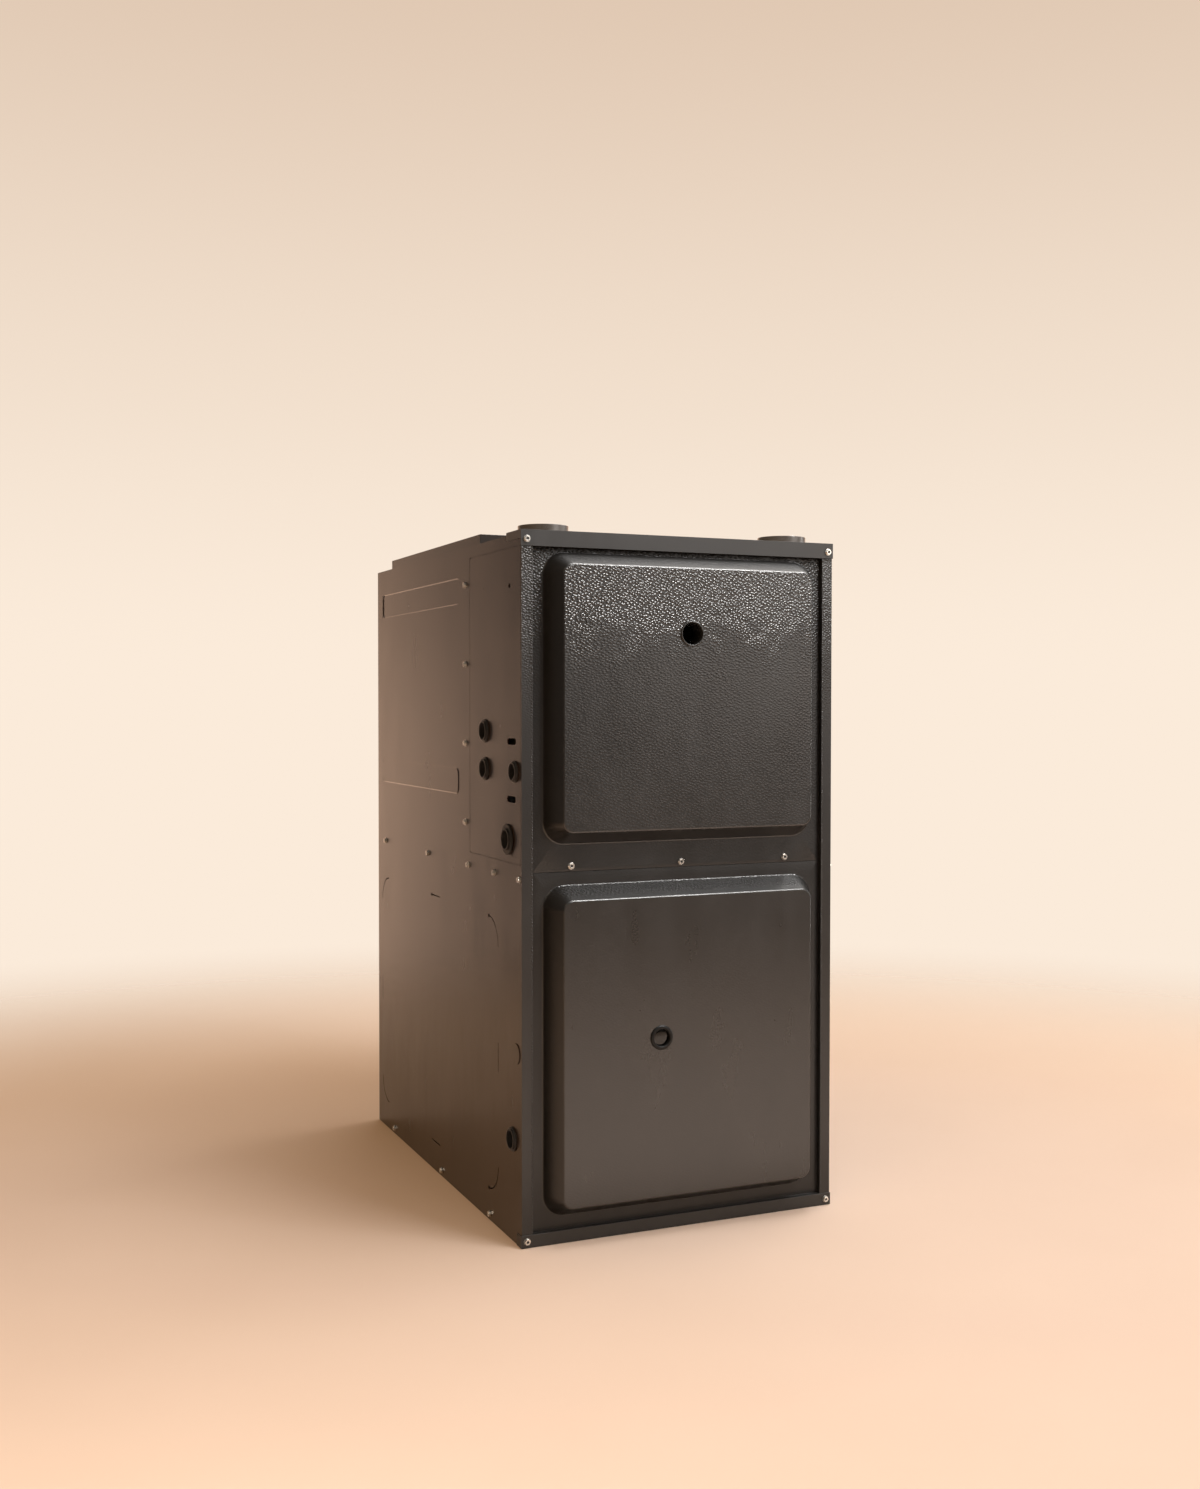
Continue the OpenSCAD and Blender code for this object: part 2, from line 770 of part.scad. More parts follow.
module upper_door() {
    color("#2f3336") place() {
        door_shell(upper_door_z0, upper_door_z1, upper_pillow_z0, upper_pillow_z1) {
            rod_y(0, -pillow_out - cut, sight_z, sight_r, pillow_depth);
            for (i = [-1:1])
                rod_y(i * door_screw_pitch, door_recess - cut, door_screw_z, shank_r + fit, sheet + 2 * cut);
        }
        difference() {
            rod_y(0, -pillow_out - trim_out / 2, sight_z, sight_r + 2 * sheet, trim_out / 2 + sheet / 2);
            rod_y(0, -pillow_out - trim_out, sight_z, sight_r, pillow_depth);
        }
    }
}

module lower_door() {
    color("#2f3336") place()
        door_shell(lower_door_z0, lower_door_z1, lower_pillow_z0, lower_pillow_z1)
            rod_y(window_x, -pillow_out - cut, window_z, window_r + bush_wall + fit, pillow_depth);
}

module batt(pillow_z0, pillow_z1) {
    margin = pillow_inset + batt_margin;
    box(-pillow_half_w + margin, pillow_half_w - margin, -pillow_out + sheet, -pillow_out + sheet + batt_t,
        pillow_z0 + margin, pillow_z1 - margin);
}

module upper_door_insulation() {
    color("#b9bcbd") place() difference() {
        batt(upper_pillow_z0, upper_pillow_z1);
        rod_y(0, -pillow_out - cut, sight_z, sight_r + sheet, pillow_depth);
    }
}

module lower_door_insulation() {
    color("#b9bcbd") place() difference() {
        batt(lower_pillow_z0, lower_pillow_z1);
        rod_y(window_x, -pillow_out - cut, window_z, bezel_r, pillow_depth);
    }
}

module door_screws() {
    color("#c9c6bb") place()
        for (i = [-1:1]) translate([i * door_screw_pitch, door_recess, door_screw_z]) rotate([90, 0, 0])
            screw(door_shank_l);
}

module sight_bezel() {
    color("#121314") place() difference() {
        union() {
            rod_y(window_x, -pillow_out - trim_out, window_z, bezel_r, trim_out);
            rod_y(window_x, -pillow_out - fit, window_z, window_r + bush_wall, bush_depth);
        }
        rod_y(window_x, -pillow_out - trim_out - cut, window_z, window_r, bush_depth + trim_out + 2 * cut);
    }
}

module sight_lens() {
    color([0.35, 0.4, 0.4, 0.5]) place()
        rod_y(window_x, -pillow_out + 2 * sheet, window_z, window_r - fit, 2 * sheet);
}

module pipe_collar(x) {
    neck_z0 = side_top - collar_below;
    translate([x, collar_y, 0]) difference() {
        union() {
            rod_z(0, 0, neck_z0, collar_r, collar_below + collar_h);
            rod_z(0, 0, side_top, collar_foot_r, collar_foot_t);
            translate([0, 0, side_top + collar_foot_t])
                cylinder(r1 = collar_foot_r - collar_foot_t, r2 = collar_r, h = 2 * collar_foot_t);
            for (ear = [-collar_ear_x, collar_ear_x]) rod_z(ear, 0, side_top, collar_ear_r - sheet, collar_foot_t);
            box(-collar_ear_x, collar_ear_x, -collar_ear_r / 2, collar_ear_r / 2, side_top, side_top + collar_foot_t);
        }
        rod_z(0, 0, side_top - collar_stop_t, collar_bore_r, collar_h + collar_stop_t + cut);
        rod_z(0, 0, neck_z0 - cut, collar_bore_r, collar_below - 2 * collar_stop_t + cut);
        rod_z(0, 0, neck_z0, collar_stop_r, collar_below);
        for (ear = [-collar_ear_x, collar_ear_x]) rod_z(ear, 0, side_top - cut, shank_r + fit, sheet + 2 * cut);
    }
}

module vent_collar() {
    color("#2b2d2f") place() pipe_collar(-collar_x);
}

module intake_collar() {
    color("#2b2d2f") place() pipe_collar(collar_x);
}

module collar_screws() {
    color("#c9c6bb") place() both_sides()
        for (ear = [-collar_ear_x, collar_ear_x])
            translate([-collar_x + ear, collar_y, side_top + collar_foot_t]) screw(shank_l);
}

module corner_screws() {
    color("#cfcabb") place()
        for (x = [-corner_x, corner_x], z = [corner_low_z, corner_high_z])
            translate([x, 0, z]) rotate([90, 0, 0]) screw(shank_l);
}

module side_screws() {
    color("#b9b3a8") place() both_sides()
        for (spot = side_screw_spots) on_side(spot) mirror([0, 0, 1]) screw(shank_l);
}

// a snap bushing in the side, with its flange outside and its barrel through the sheet
module bushing(bore_r, flange) {
    difference() {
        union() {
            translate([0, 0, -bush_flange_t]) cylinder(r = bore_r + flange + bush_wall, h = bush_flange_t);
            translate([0, 0, -bush_out]) cylinder(r = bore_r + lip_wall, h = bush_out);
            translate([0, 0, -fit]) cylinder(r = bore_r + bush_wall, h = bush_depth);
        }
        translate([0, 0, -bush_out - cut]) cylinder(r = bore_r, h = bush_out + bush_depth + 2 * cut);
    }
}

module wire_bushings() {
    color("#111213") place() both_sides() {
        for (spot = wire_spots) on_side(spot) bushing(wire_r, wire_flange);
        on_side(wire_front_spot) bushing(wire_front_r, wire_flange - bush_wall / 2);
    }
}

module gas_bushings() {
    color("#111213") place() both_sides() on_side(gas_spot) bushing(gas_bore_r, gas_flange);
}

module drain_bushings() {
    color("#17181a") place() both_sides() on_side(drain_spot) bushing(drain_r, wire_flange);
}

module knockout_plugs() {
    color("#4a3f38") place() both_sides() on_side(plug_spot) {
        translate([0, 0, -sheet]) cylinder(r = plug_r + sheet, h = sheet);
        cylinder(r = plug_r, h = 2 * sheet);
    }
}

gas_start_x = -side_x + bush_depth + 8;
union_r = 15;
union_l = 26;

module gas_pipe() {
    color("#55585a") place() difference() {
        union() {
            rod_x(gas_start_x, gas_y, gas_z, union_r, union_l);
            rod_x(gas_start_x, gas_y, gas_z, gas_r, valve_x - gas_start_x);
            translate([valve_x, gas_y, gas_z]) sphere(r = union_r);
            rod_z(valve_x, gas_y, gas_z, gas_r, valve_z0 - gas_z);
        }
        rod_x(gas_start_x - cut, gas_y, gas_z, gas_r + fit, union_l / 2 + cut);
    }
}

module gas_valve() {
    color("#a7abad") place() difference() {
        union() {
            box(valve_x - valve_w / 2, valve_x + valve_w / 2, gas_y - valve_d / 2, gas_y + valve_d / 2,
                valve_z0 + overlap_h, valve_z0 + valve_h - overlap_h);
            rod_z(valve_x, gas_y, valve_z0, union_r, valve_h);
            rod_y(valve_x - valve_w / 4, gas_y, valve_z0 + valve_h / 3, union_r, valve_d / 2 + union_r);
        }
        rod_y(valve_x, gas_y - valve_d / 2 - cut, valve_z0 + valve_h * 0.6, knob_stem_r + run, overlap_h + cut);
    }
}

module gas_valve_knob() {
    stem_l = overlap_h - 2;
    color("#c8452e") place() translate([valve_x, gas_y - valve_d / 2, valve_z0 + valve_h * 0.6]) rotate([90, 0, 0]) {
        translate([0, 0, knob_gap]) cylinder(r = knob_r, h = knob_l / 2);
        translate([-knob_r / 5, -knob_r * 0.9, knob_gap]) cube([knob_r * 0.4, knob_r * 1.8, knob_l]);
        translate([0, 0, -stem_l]) cylinder(r = knob_stem_r, h = stem_l + knob_gap + sheet);
    }
}

module gas_manifold() {
    valve_top = valve_z0 + valve_h;
    color("#5f6264") place() difference() {
        union() {
            rod_z(valve_x, gas_y, valve_top, gas_r, burner_z - valve_top);
            translate([valve_x, gas_y, burner_z]) sphere(r = union_r);
            rod_x(burner_xs[0] - burner_pitch / 2, gas_y, burner_z, manifold_r, valve_x - burner_xs[0] + burner_pitch / 2);
        }
        for (x = burner_xs) rod_y(x, gas_y, burner_z, orifice_r / 2 + fit, 2 * manifold_r);
    }
}

module gas_orifices() {
    color("#b08d45") place() for (x = burner_xs) difference() {
        union() {
            rod_y(x, gas_y + manifold_r - 2, burner_z, orifice_r / 2, box_y0 + sheet - gas_y - manifold_r + 6);
            rod_y(x, gas_y + manifold_r + sheet, burner_z, orifice_r, box_y0 - gas_y - manifold_r - sheet, $fn = 6);
        }
        rod_y(x, gas_y, burner_z, orifice_bore, 2 * burner_y0);
    }
}

module burner_box() {
    color("#8d9295") place() difference() {
        box(-box_half_w, box_half_w, box_y0, vest_y, box_z0, box_z1);
        box(-box_half_w + sheet, box_half_w - sheet, box_y0 + sheet, vest_y + cut, box_z0 + sheet, box_z1 - sheet);
        for (x = burner_xs) rod_y(x, box_y0 - cut, burner_z, orifice_r / 2 + fit, sheet + 2 * cut);
        rod_x(-box_half_w - cut, probe_y, burner_z, disc_r / 2 + fit, sheet + 2 * cut);
        rod_x(box_half_w - sheet - cut, probe_y, burner_z, disc_r / 2 + fit, sheet + 2 * cut);
        rod_y(0, box_y0 - cut, burner_z + 20, sheet * 4, sheet + 2 * cut);
    }
}

module burners() {
    profile = [[17, 0], [12, 16], [12, 36], [15, 70], [18, 84], [18, burner_l]];
    count = len(profile) - 1;
    inner = [for (i = [0:count]) [profile[count - i][0] - burner_wall, profile[count - i][1]]];
    color("#a3a6a8") place() for (x = burner_xs) {
        translate([x, burner_y0, burner_z]) rotate([-90, 0, 0]) rotate_extrude() polygon(concat(profile, inner));
        for (y = [burner_y0 + 22, burner_y0 + 92])
            box(x - 6, x + 6, y, y + 2, box_z0 + sheet, burner_z - (y > burner_y0 + 50 ? 17 : 11.5));
    }
}

module igniter() {
    color("#e5e2da") place() {
        rod_x(-box_half_w - 14, probe_y, burner_z, disc_r / 2, 24);
        box(-box_half_w - 18, -box_half_w, probe_y - 7, probe_y + 6, burner_z - 8, burner_z + 8);
        box(-box_half_w, -box_half_w + 34, probe_y - 1.5, probe_y + 1.5, burner_z - 3, burner_z + 3);
    }
}

module flame_sensor() {
    color("#d9d6cc") place() {
        rod_x(box_half_w - 10, probe_y, burner_z, disc_r / 2, 26);
        box(box_half_w, box_half_w + 1.5, probe_y - 7, probe_y + 6, burner_z - 10, burner_z + 10);
        rod_x(box_half_w - 36, probe_y, burner_z, 1.5, 30);
    }
}

module rollout_switches() {
    color("#2a2c2e") place() both_sides() translate([-reset_xs, reset_y, box_z1]) difference() {
        union() {
            translate([-disc_r * 1.5, -disc_r * 0.8, 0]) cube([disc_r * 3, disc_r * 1.6, sheet]);
            cylinder(r = disc_r, h = disc_h);
        }
        translate([0, 0, 2 * sheet]) cylinder(r = reset_r + run, h = disc_h);
    }
}

module reset_button() {
    rod_z(-reset_xs, reset_y, box_z1 + 2 * sheet + reset_travel + loose, reset_r, reset_l);
}

module left_reset_button() {
    color("#b33127") place() reset_button();
}

module right_reset_button() {
    color("#b33127") place() mirror([1, 0, 0]) reset_button();
}

// one length of tube, and a half turn of it in the plane of its passes
module tube_length(y0, y1, z) {
    difference() {
        rod_y(0, y0, z, tube_r, y1 - y0);
        rod_y(0, y0 - cut, z, tube_r - tube_wall, y1 - y0 + 2 * cut);
    }
}

module tube_bend(y, z, from) {
    translate([0, y, z]) rotate([90, 0, 90]) rotate([0, 0, from]) rotate_extrude(angle = 180)
        translate([bend_r, 0]) difference() {
            circle(r = tube_r);
            circle(r = tube_r - tube_wall);
        }
}

module heat_exchanger_tubes() {
    color("#b5b2ac") place() for (x = burner_xs) translate([x, 0, 0]) {
        tube_length(vest_y, tube_y1, burner_z);
        tube_bend(tube_y1, burner_z - bend_r, -90);
        tube_length(tube_y0, tube_y1, burner_z - pass_drop);
        tube_bend(tube_y0, burner_z - pass_drop - bend_r, 90);
        tube_length(tube_y0, core_y1, third_z);
    }
}

module secondary_exchanger() {
    slot_w = fin_pitch - fin_t;
    header_top = third_z + tube_r + 10;
    port_top = port_z1 + 8;
    color("#9da3a6") place() {
        difference() {
            box(-core_half_w, core_half_w, core_y0, core_y1, core_z0, core_z0 + core_h);
            for (i = [0:fin_count - 1]) translate([(i - (fin_count - 1) / 2) * fin_pitch, 0, 0])
                box(-slot_w / 2, slot_w / 2, core_y0 + core_bar, core_y1 - core_bar,
                    core_z0 - cut, core_z0 + core_h + cut);
        }
        both_sides() box(-core_half_w - sheet, -core_half_w, core_y0, core_y1, deck_z, core_z0 + core_h);
        difference() {
            box(-port_half_w, port_half_w, vest_y + sheet, core_y0, core_z0 + sheet, port_top);
            box(-port_half_w + port_wall, port_half_w - port_wall, vest_y, core_y0 - port_wall,
                core_z0 + sheet + port_wall, port_top - port_wall);
        }
        difference() {
            box(-header_box_half_w, header_box_half_w, core_y1, header_box_y1, core_z0, header_top);
            box(-header_box_half_w + header_box_wall, header_box_half_w - header_box_wall,
                core_y1 + header_box_wall, header_box_y1 - header_box_wall,
                core_z0 + header_box_wall, header_top - header_box_wall);
            for (x = burner_xs) rod_y(x, core_y1 - cut, third_z, tube_r - tube_wall, header_box_wall + 2 * cut);
        }
    }
}

module collector_box() {
    color("#26282a") place() difference() {
        box(-collector_half_w, collector_half_w, collector_y, vest_y, collector_z0, collector_z1);
        box(-collector_half_w + volute_wall, collector_half_w - volute_wall, collector_y + volute_wall, vest_y + cut,
            collector_z0 + volute_wall, collector_z1 - volute_wall);
        rod_y(inducer_x, collector_y - cut, inducer_z, eye_r, 2 * volute_wall + cut);
    }
}

module inducer_housing() {
    color("#2d2f31") place() difference() {
        union() {
            rod_y(inducer_x, volute_y0, inducer_z, volute_r, volute_d);
            box(discharge_x + 2 * socket_l, inducer_x, volute_y0, collector_y, inducer_z, inducer_z + volute_r);
            rod_x(discharge_x, vent_y, discharge_z, discharge_r, 2 * socket_l + fit);
        }
        rod_y(inducer_x, volute_y0 + volute_wall, inducer_z, volute_r - volute_wall, volute_d - 2 * volute_wall);
        rod_y(inducer_x, volute_y0 - cut, inducer_z, spindle_r * 2, volute_wall + 2 * cut);
        rod_y(inducer_x, volute_y0 + volute_wall, inducer_z, eye_r, volute_d);
        rod_x(discharge_x - cut, vent_y, discharge_z, vent_r + 2 * fit, socket_l + cut);
        rod_x(discharge_x, vent_y, discharge_z, vent_r - vent_wall, inducer_x - discharge_x);
    }
}

module inducer_wheel() {
    wheel_y0 = volute_y0 + 12;
    width = volute_d - 28;
    color("#c4c7c9") place() {
        rod_y(inducer_x, inducer_front_y - 12, inducer_z, spindle_r, wheel_y0 + width - inducer_front_y + 12);
        rod_y(inducer_x, wheel_y0, inducer_z, fan_r, 2);
        rod_y(inducer_x, wheel_y0, inducer_z, spindle_r * 2.5, width);
        for (i = [0:9]) translate([inducer_x, wheel_y0, inducer_z]) rotate([0, i * 36, 0])
            translate([spindle_r * 2, 0, -0.8]) cube([fan_r - spindle_r * 2 - 1, width, 1.6]);
    }
}

module inducer_motor() {
    color("#3b3e41") place() difference() {
        union() {
            rod_y(inducer_x, inducer_front_y, inducer_z, inducer_motor_r, inducer_motor_l - 8);
            rod_y(inducer_x, inducer_front_y, inducer_z, inducer_motor_r / 2, inducer_motor_l);
            for (a = [0:90:270]) translate([inducer_x, volute_y0 - 10, inducer_z]) rotate([0, a + 45, 0])
                translate([inducer_motor_r - 8, 0, -4]) cube([14, 10, 8]);
        }
        rod_y(inducer_x, inducer_front_y - cut, inducer_z, spindle_r + fit, inducer_motor_l + 2 * cut);
    }
}

module inducer_fan() {
    color("#1d1f20") place() translate([inducer_x, inducer_front_y - 11, inducer_z]) rotate([-90, 0, 0]) difference() {
        union() {
            cylinder(r = spindle_r * 2, h = 8);
            for (i = [0:5]) rotate([0, 0, i * 60]) translate([spindle_r, -5, 2]) rotate([24, 0, 0])
                cube([inducer_motor_r - 14, 10, 1.4]);
        }
        translate([0, 0, -cut]) cylinder(r = spindle_r + fit, h = 8 + 2 * cut);
    }
}

module vent_elbow() {
    rotate([90, 0, 0]) rotate_extrude(angle = 90) translate([vent_elbow_r, 0]) difference() {
        circle(r = vent_r + vent_hub);
        circle(r = vent_r - vent_wall - vent_lip);
    }
}

module vent_tube(length) {
    difference() {
        cylinder(r = vent_r, h = length);
        translate([0, 0, -cut]) cylinder(r = vent_r - vent_wall, h = length + 2 * cut);
    }
}

// vent pipe from the inducer's discharge through two short elbows up to the vent collar
module vent_pipe() {
    tube_x0 = vent_x + vent_elbow_r - vent_into;
    tube_z0 = discharge_z + vent_elbow_r - vent_into;
    color("#d8d6cf") place() {
        translate([tube_x0, vent_y, discharge_z]) rotate([0, 90, 0])
            vent_tube(discharge_x + socket_l - tube_x0);
        translate([vent_x + vent_elbow_r, vent_y - vent_elbow_r, discharge_z]) rotate([-90, 0, 90]) vent_elbow();
        translate([vent_x, collar_y + vent_elbow_r, discharge_z + vent_elbow_r]) rotate([0, 0, -90])
            rotate([0, 90, 0]) vent_elbow();
        translate([vent_x, collar_y, tube_z0]) vent_tube(vent_top - tube_z0);
    }
}

module pressure_switch() {
    color("#33363a") place() {
        rod_y(psw_x, vest_y - psw_plate_t - psw_t, psw_z, psw_r, psw_t);
        rod_y(psw_x, vest_y - psw_plate_t - psw_t - psw_boss_l, psw_z, psw_boss_r, psw_boss_l + sheet);
        box(psw_x - psw_plate_half_w, psw_x + psw_plate_half_w, vest_y - psw_plate_t, vest_y,
            psw_z - psw_r, psw_z + psw_r);
        for (z = [-1, 1] * psw_nipple_z)
            rod_y(psw_x, vest_y - psw_plate_t - psw_t - psw_nipple_l, psw_z + z, psw_nipple_r, psw_nipple_l + sheet);
    }
}

module condensate_trap() {
    color("#e0dfda") place() {
        box(trap_x - trap_half_w, trap_x + trap_half_w, trap_y - trap_half_d, trap_y + trap_half_d,
            deck_z, deck_z + trap_h);
        for (x = [-1, 1] * trap_half_w / 2) rod_z(trap_x + x, trap_y, deck_z + trap_h, trap_port_r, trap_port_l);
        rod_x(trap_x - trap_half_w - trap_port_l + 2, trap_y, deck_z + trap_drain_up, trap_port_r, trap_port_l);
    }
}

function scroll_point(a, skin) =
    (wheel_r + scroll_gap + scroll_growth * a / scroll_sweep - skin) * [cos(cutoff_angle - a), sin(cutoff_angle - a)];

function scroll_outline(skin, top) = concat(
    [for (i = [0:scroll_steps]) scroll_point(scroll_sweep * i / scroll_steps, skin)],
    [[-scroll_end_r + skin, top], [cutoff_y - skin, top]]);

module blower_frame() {
    place() translate([0, blower_y, blower_z]) children();
}

module blower_housing() {
    color("#9aa0a3") blower_frame() {
        difference() {
            rotate([90, 0, 90]) linear_extrude(height = scroll_w, center = true)
                polygon(scroll_outline(0, scroll_top));
            rotate([90, 0, 90]) linear_extrude(height = scroll_w - 2 * sheet, center = true)
                polygon(scroll_outline(sheet, scroll_top + cut));
            rod_x(-scroll_w / 2 - cut, 0, 0, inlet_r, scroll_w + 2 * cut);
        }
        both_sides() box(-scroll_w / 2 - blower_flange_w, -scroll_w / 2, -scroll_end_r, cutoff_y,
            scroll_top - sheet, scroll_top);
    }
}

module blower_wheel() {
    color("#b9bdbf") blower_frame() rotate([0, 90, 0]) difference() {
        union() {
            for (z = [-wheel_w / 2, wheel_w / 2 - ring_t]) translate([0, 0, z]) difference() {
                cylinder(r = wheel_r, h = ring_t);
                translate([0, 0, -cut]) cylinder(r = wheel_r - ring_w, h = ring_t + 2 * cut);
            }
            for (i = [0:blade_count - 1]) rotate([0, 0, i * 360 / blade_count])
                translate([wheel_r - ring_w / 2 - 4, 0, 0]) rotate([0, 0, blade_angle])
                    cube([blade_chord, blade_t, wheel_w - ring_t], center = true);
            translate([0, 0, disc_x]) cylinder(r = wheel_r - ring_w + 2, h = disc_t);
            translate([0, 0, disc_x]) cylinder(r = hub_r, h = hub_l);
        }
        translate([0, 0, disc_x - cut]) cylinder(r = shaft_r + fit, h = hub_l + 2 * cut);
    }
}

module blower_shaft() {
    color("#c9cbcc") blower_frame()
        rod_x(motor_x1 - shaft_in, 0, 0, shaft_r, shaft_in + motor_gap + hub_l + 6);
}

module blower_motor() {
    color("#2f3235") blower_frame() difference() {
        union() {
            rod_x(motor_x0, 0, 0, motor_r, motor_l - 4);
            rod_x(motor_x0 - 6, 0, 0, motor_r * 0.72, motor_l);
            rod_x(motor_x1 - 6, 0, 0, hub_r, 6);
        }
        rod_x(motor_x1 - shaft_in - 2, 0, 0, shaft_r + fit, shaft_in + 2 + cut);
    }
}

module motor_bracket() {
    band_x0 = motor_x0 + 2;
    color("#84898c") blower_frame() {
        difference() {
            rod_x(band_x0, 0, 0, motor_r + fit + band_t, -scroll_w / 2 - band_x0);
            rod_x(band_x0 - cut, 0, 0, motor_r + fit, -scroll_w / 2 - band_x0 + 2 * cut);
        }
        for (a = [30, 150, 270]) rotate([a, 0, 0])
            box(-scroll_w / 2 - arm_t, -scroll_w / 2, motor_r + band_t - sheet, inlet_r + arm_reach,
                -arm_w / 2, arm_w / 2);
    }
}

module control_tray() {
    color("#a9adaf") place() {
        box(-inner_x, tray_x1, tray_y - sheet, tray_y, tray_z0, tray_z1);
        box(-inner_x, -inner_x + sheet, tray_y - tray_flange, tray_y, tray_z0, tray_z1);
        for (x = [-1, 1] * (board_w / 2 - 6), z = [-1, 1] * (board_h / 2 - 6))
            rod_y(window_x + x, tray_y - sheet - standoff_l, window_z + z, standoff_r, standoff_l);
    }
}

module control_board() {
    board_y = tray_y - sheet - standoff_l - board_t;
    color("#2d5a3d") place() {
        box(window_x - board_w / 2, window_x + board_w / 2, board_y, board_y + board_t,
            window_z - board_h / 2, window_z + board_h / 2);
        for (x = relay_xs)
            box(window_x + x, window_x + x + relay_w, board_y - relay_h, board_y,
                window_z + relay_up, window_z + relay_up + relay_l);
        box(window_x + chip_x, window_x + chip_x + chip_w, board_y - chip_h, board_y,
            window_z + chip_up, window_z + chip_up + chip_l);
        box(window_x - strip_half_l, window_x + strip_half_l - standoff_r, board_y - terminal_h, board_y,
            window_z - terminal_down, window_z - terminal_down + terminal_l);
        rod_y(window_x, board_y - lamp_h, window_z, lamp_r, lamp_h);
        for (x = can_xs) rod_y(window_x + x, board_y - can_h, window_z - can_down, can_r, can_h);
    }
}

module transformer() {
    face = tray_y - sheet;
    color("#6a5a3f") place() translate([core_x, 0, window_z]) {
        box(-coil_half_w, coil_half_w, face - core_off - core_t, face - core_off, -core_half_h, core_half_h);
        box(-spool_half_w, spool_half_w, face - core_off - core_t - spool_out, face, -spool_half_h, spool_half_h);
        box(-foot_half_w, foot_half_w, face - foot_t, face, -core_half_h, core_half_h);
        both_sides() box(-coil_half_w + foot_t, -coil_half_w + 3 * foot_t, face - core_off - sheet, face,
            -core_half_h, core_half_h);
    }
}

module door_switch() {
    color("#1c1e20") place() difference() {
        box(switch_x - switch_w / 2, switch_x + switch_w / 2, lip_y, lip_y + switch_l,
            switch_z - switch_h / 2, switch_z + switch_h / 2);
        rod_y(switch_x, lip_y - cut, switch_z, plunger_r + run, plunger_l + cut);
    }
}

module door_switch_plunger() {
    color("#d8d8d4") place() rod_y(switch_x, border_back + loose, switch_z, plunger_r, plunger_l - 2 * loose);
}

left_side_panel();
right_side_panel();
left_service_plate();
right_service_plate();
back_panel();
top_panel();
supply_flange();
header_rail();
bottom_rail();
base_pan();
blower_deck();
vestibule_panel();
upper_door();
lower_door();
upper_door_insulation();
lower_door_insulation();
door_screws();
sight_bezel();
sight_lens();
vent_collar();
intake_collar();
collar_screws();
corner_screws();
side_screws();
wire_bushings();
gas_bushings();
drain_bushings();
knockout_plugs();
gas_pipe();
gas_valve();
gas_valve_knob();
gas_manifold();
gas_orifices();
burners();
burner_box();
igniter();
flame_sensor();
rollout_switches();
left_reset_button();
right_reset_button();
heat_exchanger_tubes();
secondary_exchanger();
collector_box();
inducer_housing();
inducer_wheel();
inducer_motor();
inducer_fan();
vent_pipe();
pressure_switch();
condensate_trap();
blower_housing();
blower_wheel();
blower_shaft();
blower_motor();
motor_bracket();
control_tray();
control_board();
transformer();
door_switch();
door_switch_plunger();
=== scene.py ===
# An upflow gas furnace in a painted sheet-steel cabinet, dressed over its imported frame. Metres throughout.
import json
import math

import bmesh
import bpy
from mathutils import Matrix, Vector, noise


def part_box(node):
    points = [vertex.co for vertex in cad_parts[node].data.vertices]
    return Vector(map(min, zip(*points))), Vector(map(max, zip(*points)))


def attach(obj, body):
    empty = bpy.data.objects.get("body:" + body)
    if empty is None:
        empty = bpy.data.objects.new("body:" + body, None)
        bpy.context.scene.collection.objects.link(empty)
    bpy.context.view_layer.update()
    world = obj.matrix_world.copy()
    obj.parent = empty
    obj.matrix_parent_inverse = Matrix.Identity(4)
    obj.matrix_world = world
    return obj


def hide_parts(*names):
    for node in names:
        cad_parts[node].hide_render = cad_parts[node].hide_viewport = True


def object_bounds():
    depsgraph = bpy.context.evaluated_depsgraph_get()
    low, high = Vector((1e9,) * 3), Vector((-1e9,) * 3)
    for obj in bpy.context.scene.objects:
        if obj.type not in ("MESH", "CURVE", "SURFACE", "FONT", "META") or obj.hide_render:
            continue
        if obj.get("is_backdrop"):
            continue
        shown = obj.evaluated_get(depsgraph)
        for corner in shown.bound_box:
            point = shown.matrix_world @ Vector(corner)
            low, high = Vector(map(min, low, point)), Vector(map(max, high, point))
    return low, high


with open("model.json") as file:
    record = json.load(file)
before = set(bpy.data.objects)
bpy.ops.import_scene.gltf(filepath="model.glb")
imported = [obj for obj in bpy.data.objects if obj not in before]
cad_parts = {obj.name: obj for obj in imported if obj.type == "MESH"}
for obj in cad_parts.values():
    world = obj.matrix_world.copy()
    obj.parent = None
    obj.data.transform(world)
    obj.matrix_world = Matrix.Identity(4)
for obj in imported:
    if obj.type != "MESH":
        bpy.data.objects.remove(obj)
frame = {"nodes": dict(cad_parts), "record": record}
cad_low, cad_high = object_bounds()
nodes = frame["nodes"]
record = frame["record"]
body_of = {n: body for body, members in record["behaviour"]["bodies"].items() for n in members}
slot_of = {part["node"]: part["material_slot"] for part in record["subparts"]}

MM = 0.001
SHEET = 1 * MM
FRONT = -316.95 * MM            # front plane of the cabinet's frame
DOOR_HALF = 204.45 * MM         # half a door's width
PILLOW_HALF = 191 * MM          # half a raised panel's width, at its foot
PILLOW_Y = FRONT - 24.5 * MM    # face of the raised panels
BORDER_Y = FRONT + 7 * MM       # flat border around them
PILLOW_INSET = 15.5 * MM        # how far a slope leans in
PILLOW_R = 28 * MM              # corner radius of a raised panel, at its foot
FOOT_BEND, FACE_BEND = 2.6 * MM, 2.8 * MM
CREASE = math.radians(28)       # sharper edges than this are softened
FLAT = math.radians(0.8)        # faces within this are one
WELD, SPECK = 2e-6, 1e-6        # vertices and edges within these are one
scene = bpy.context.scene


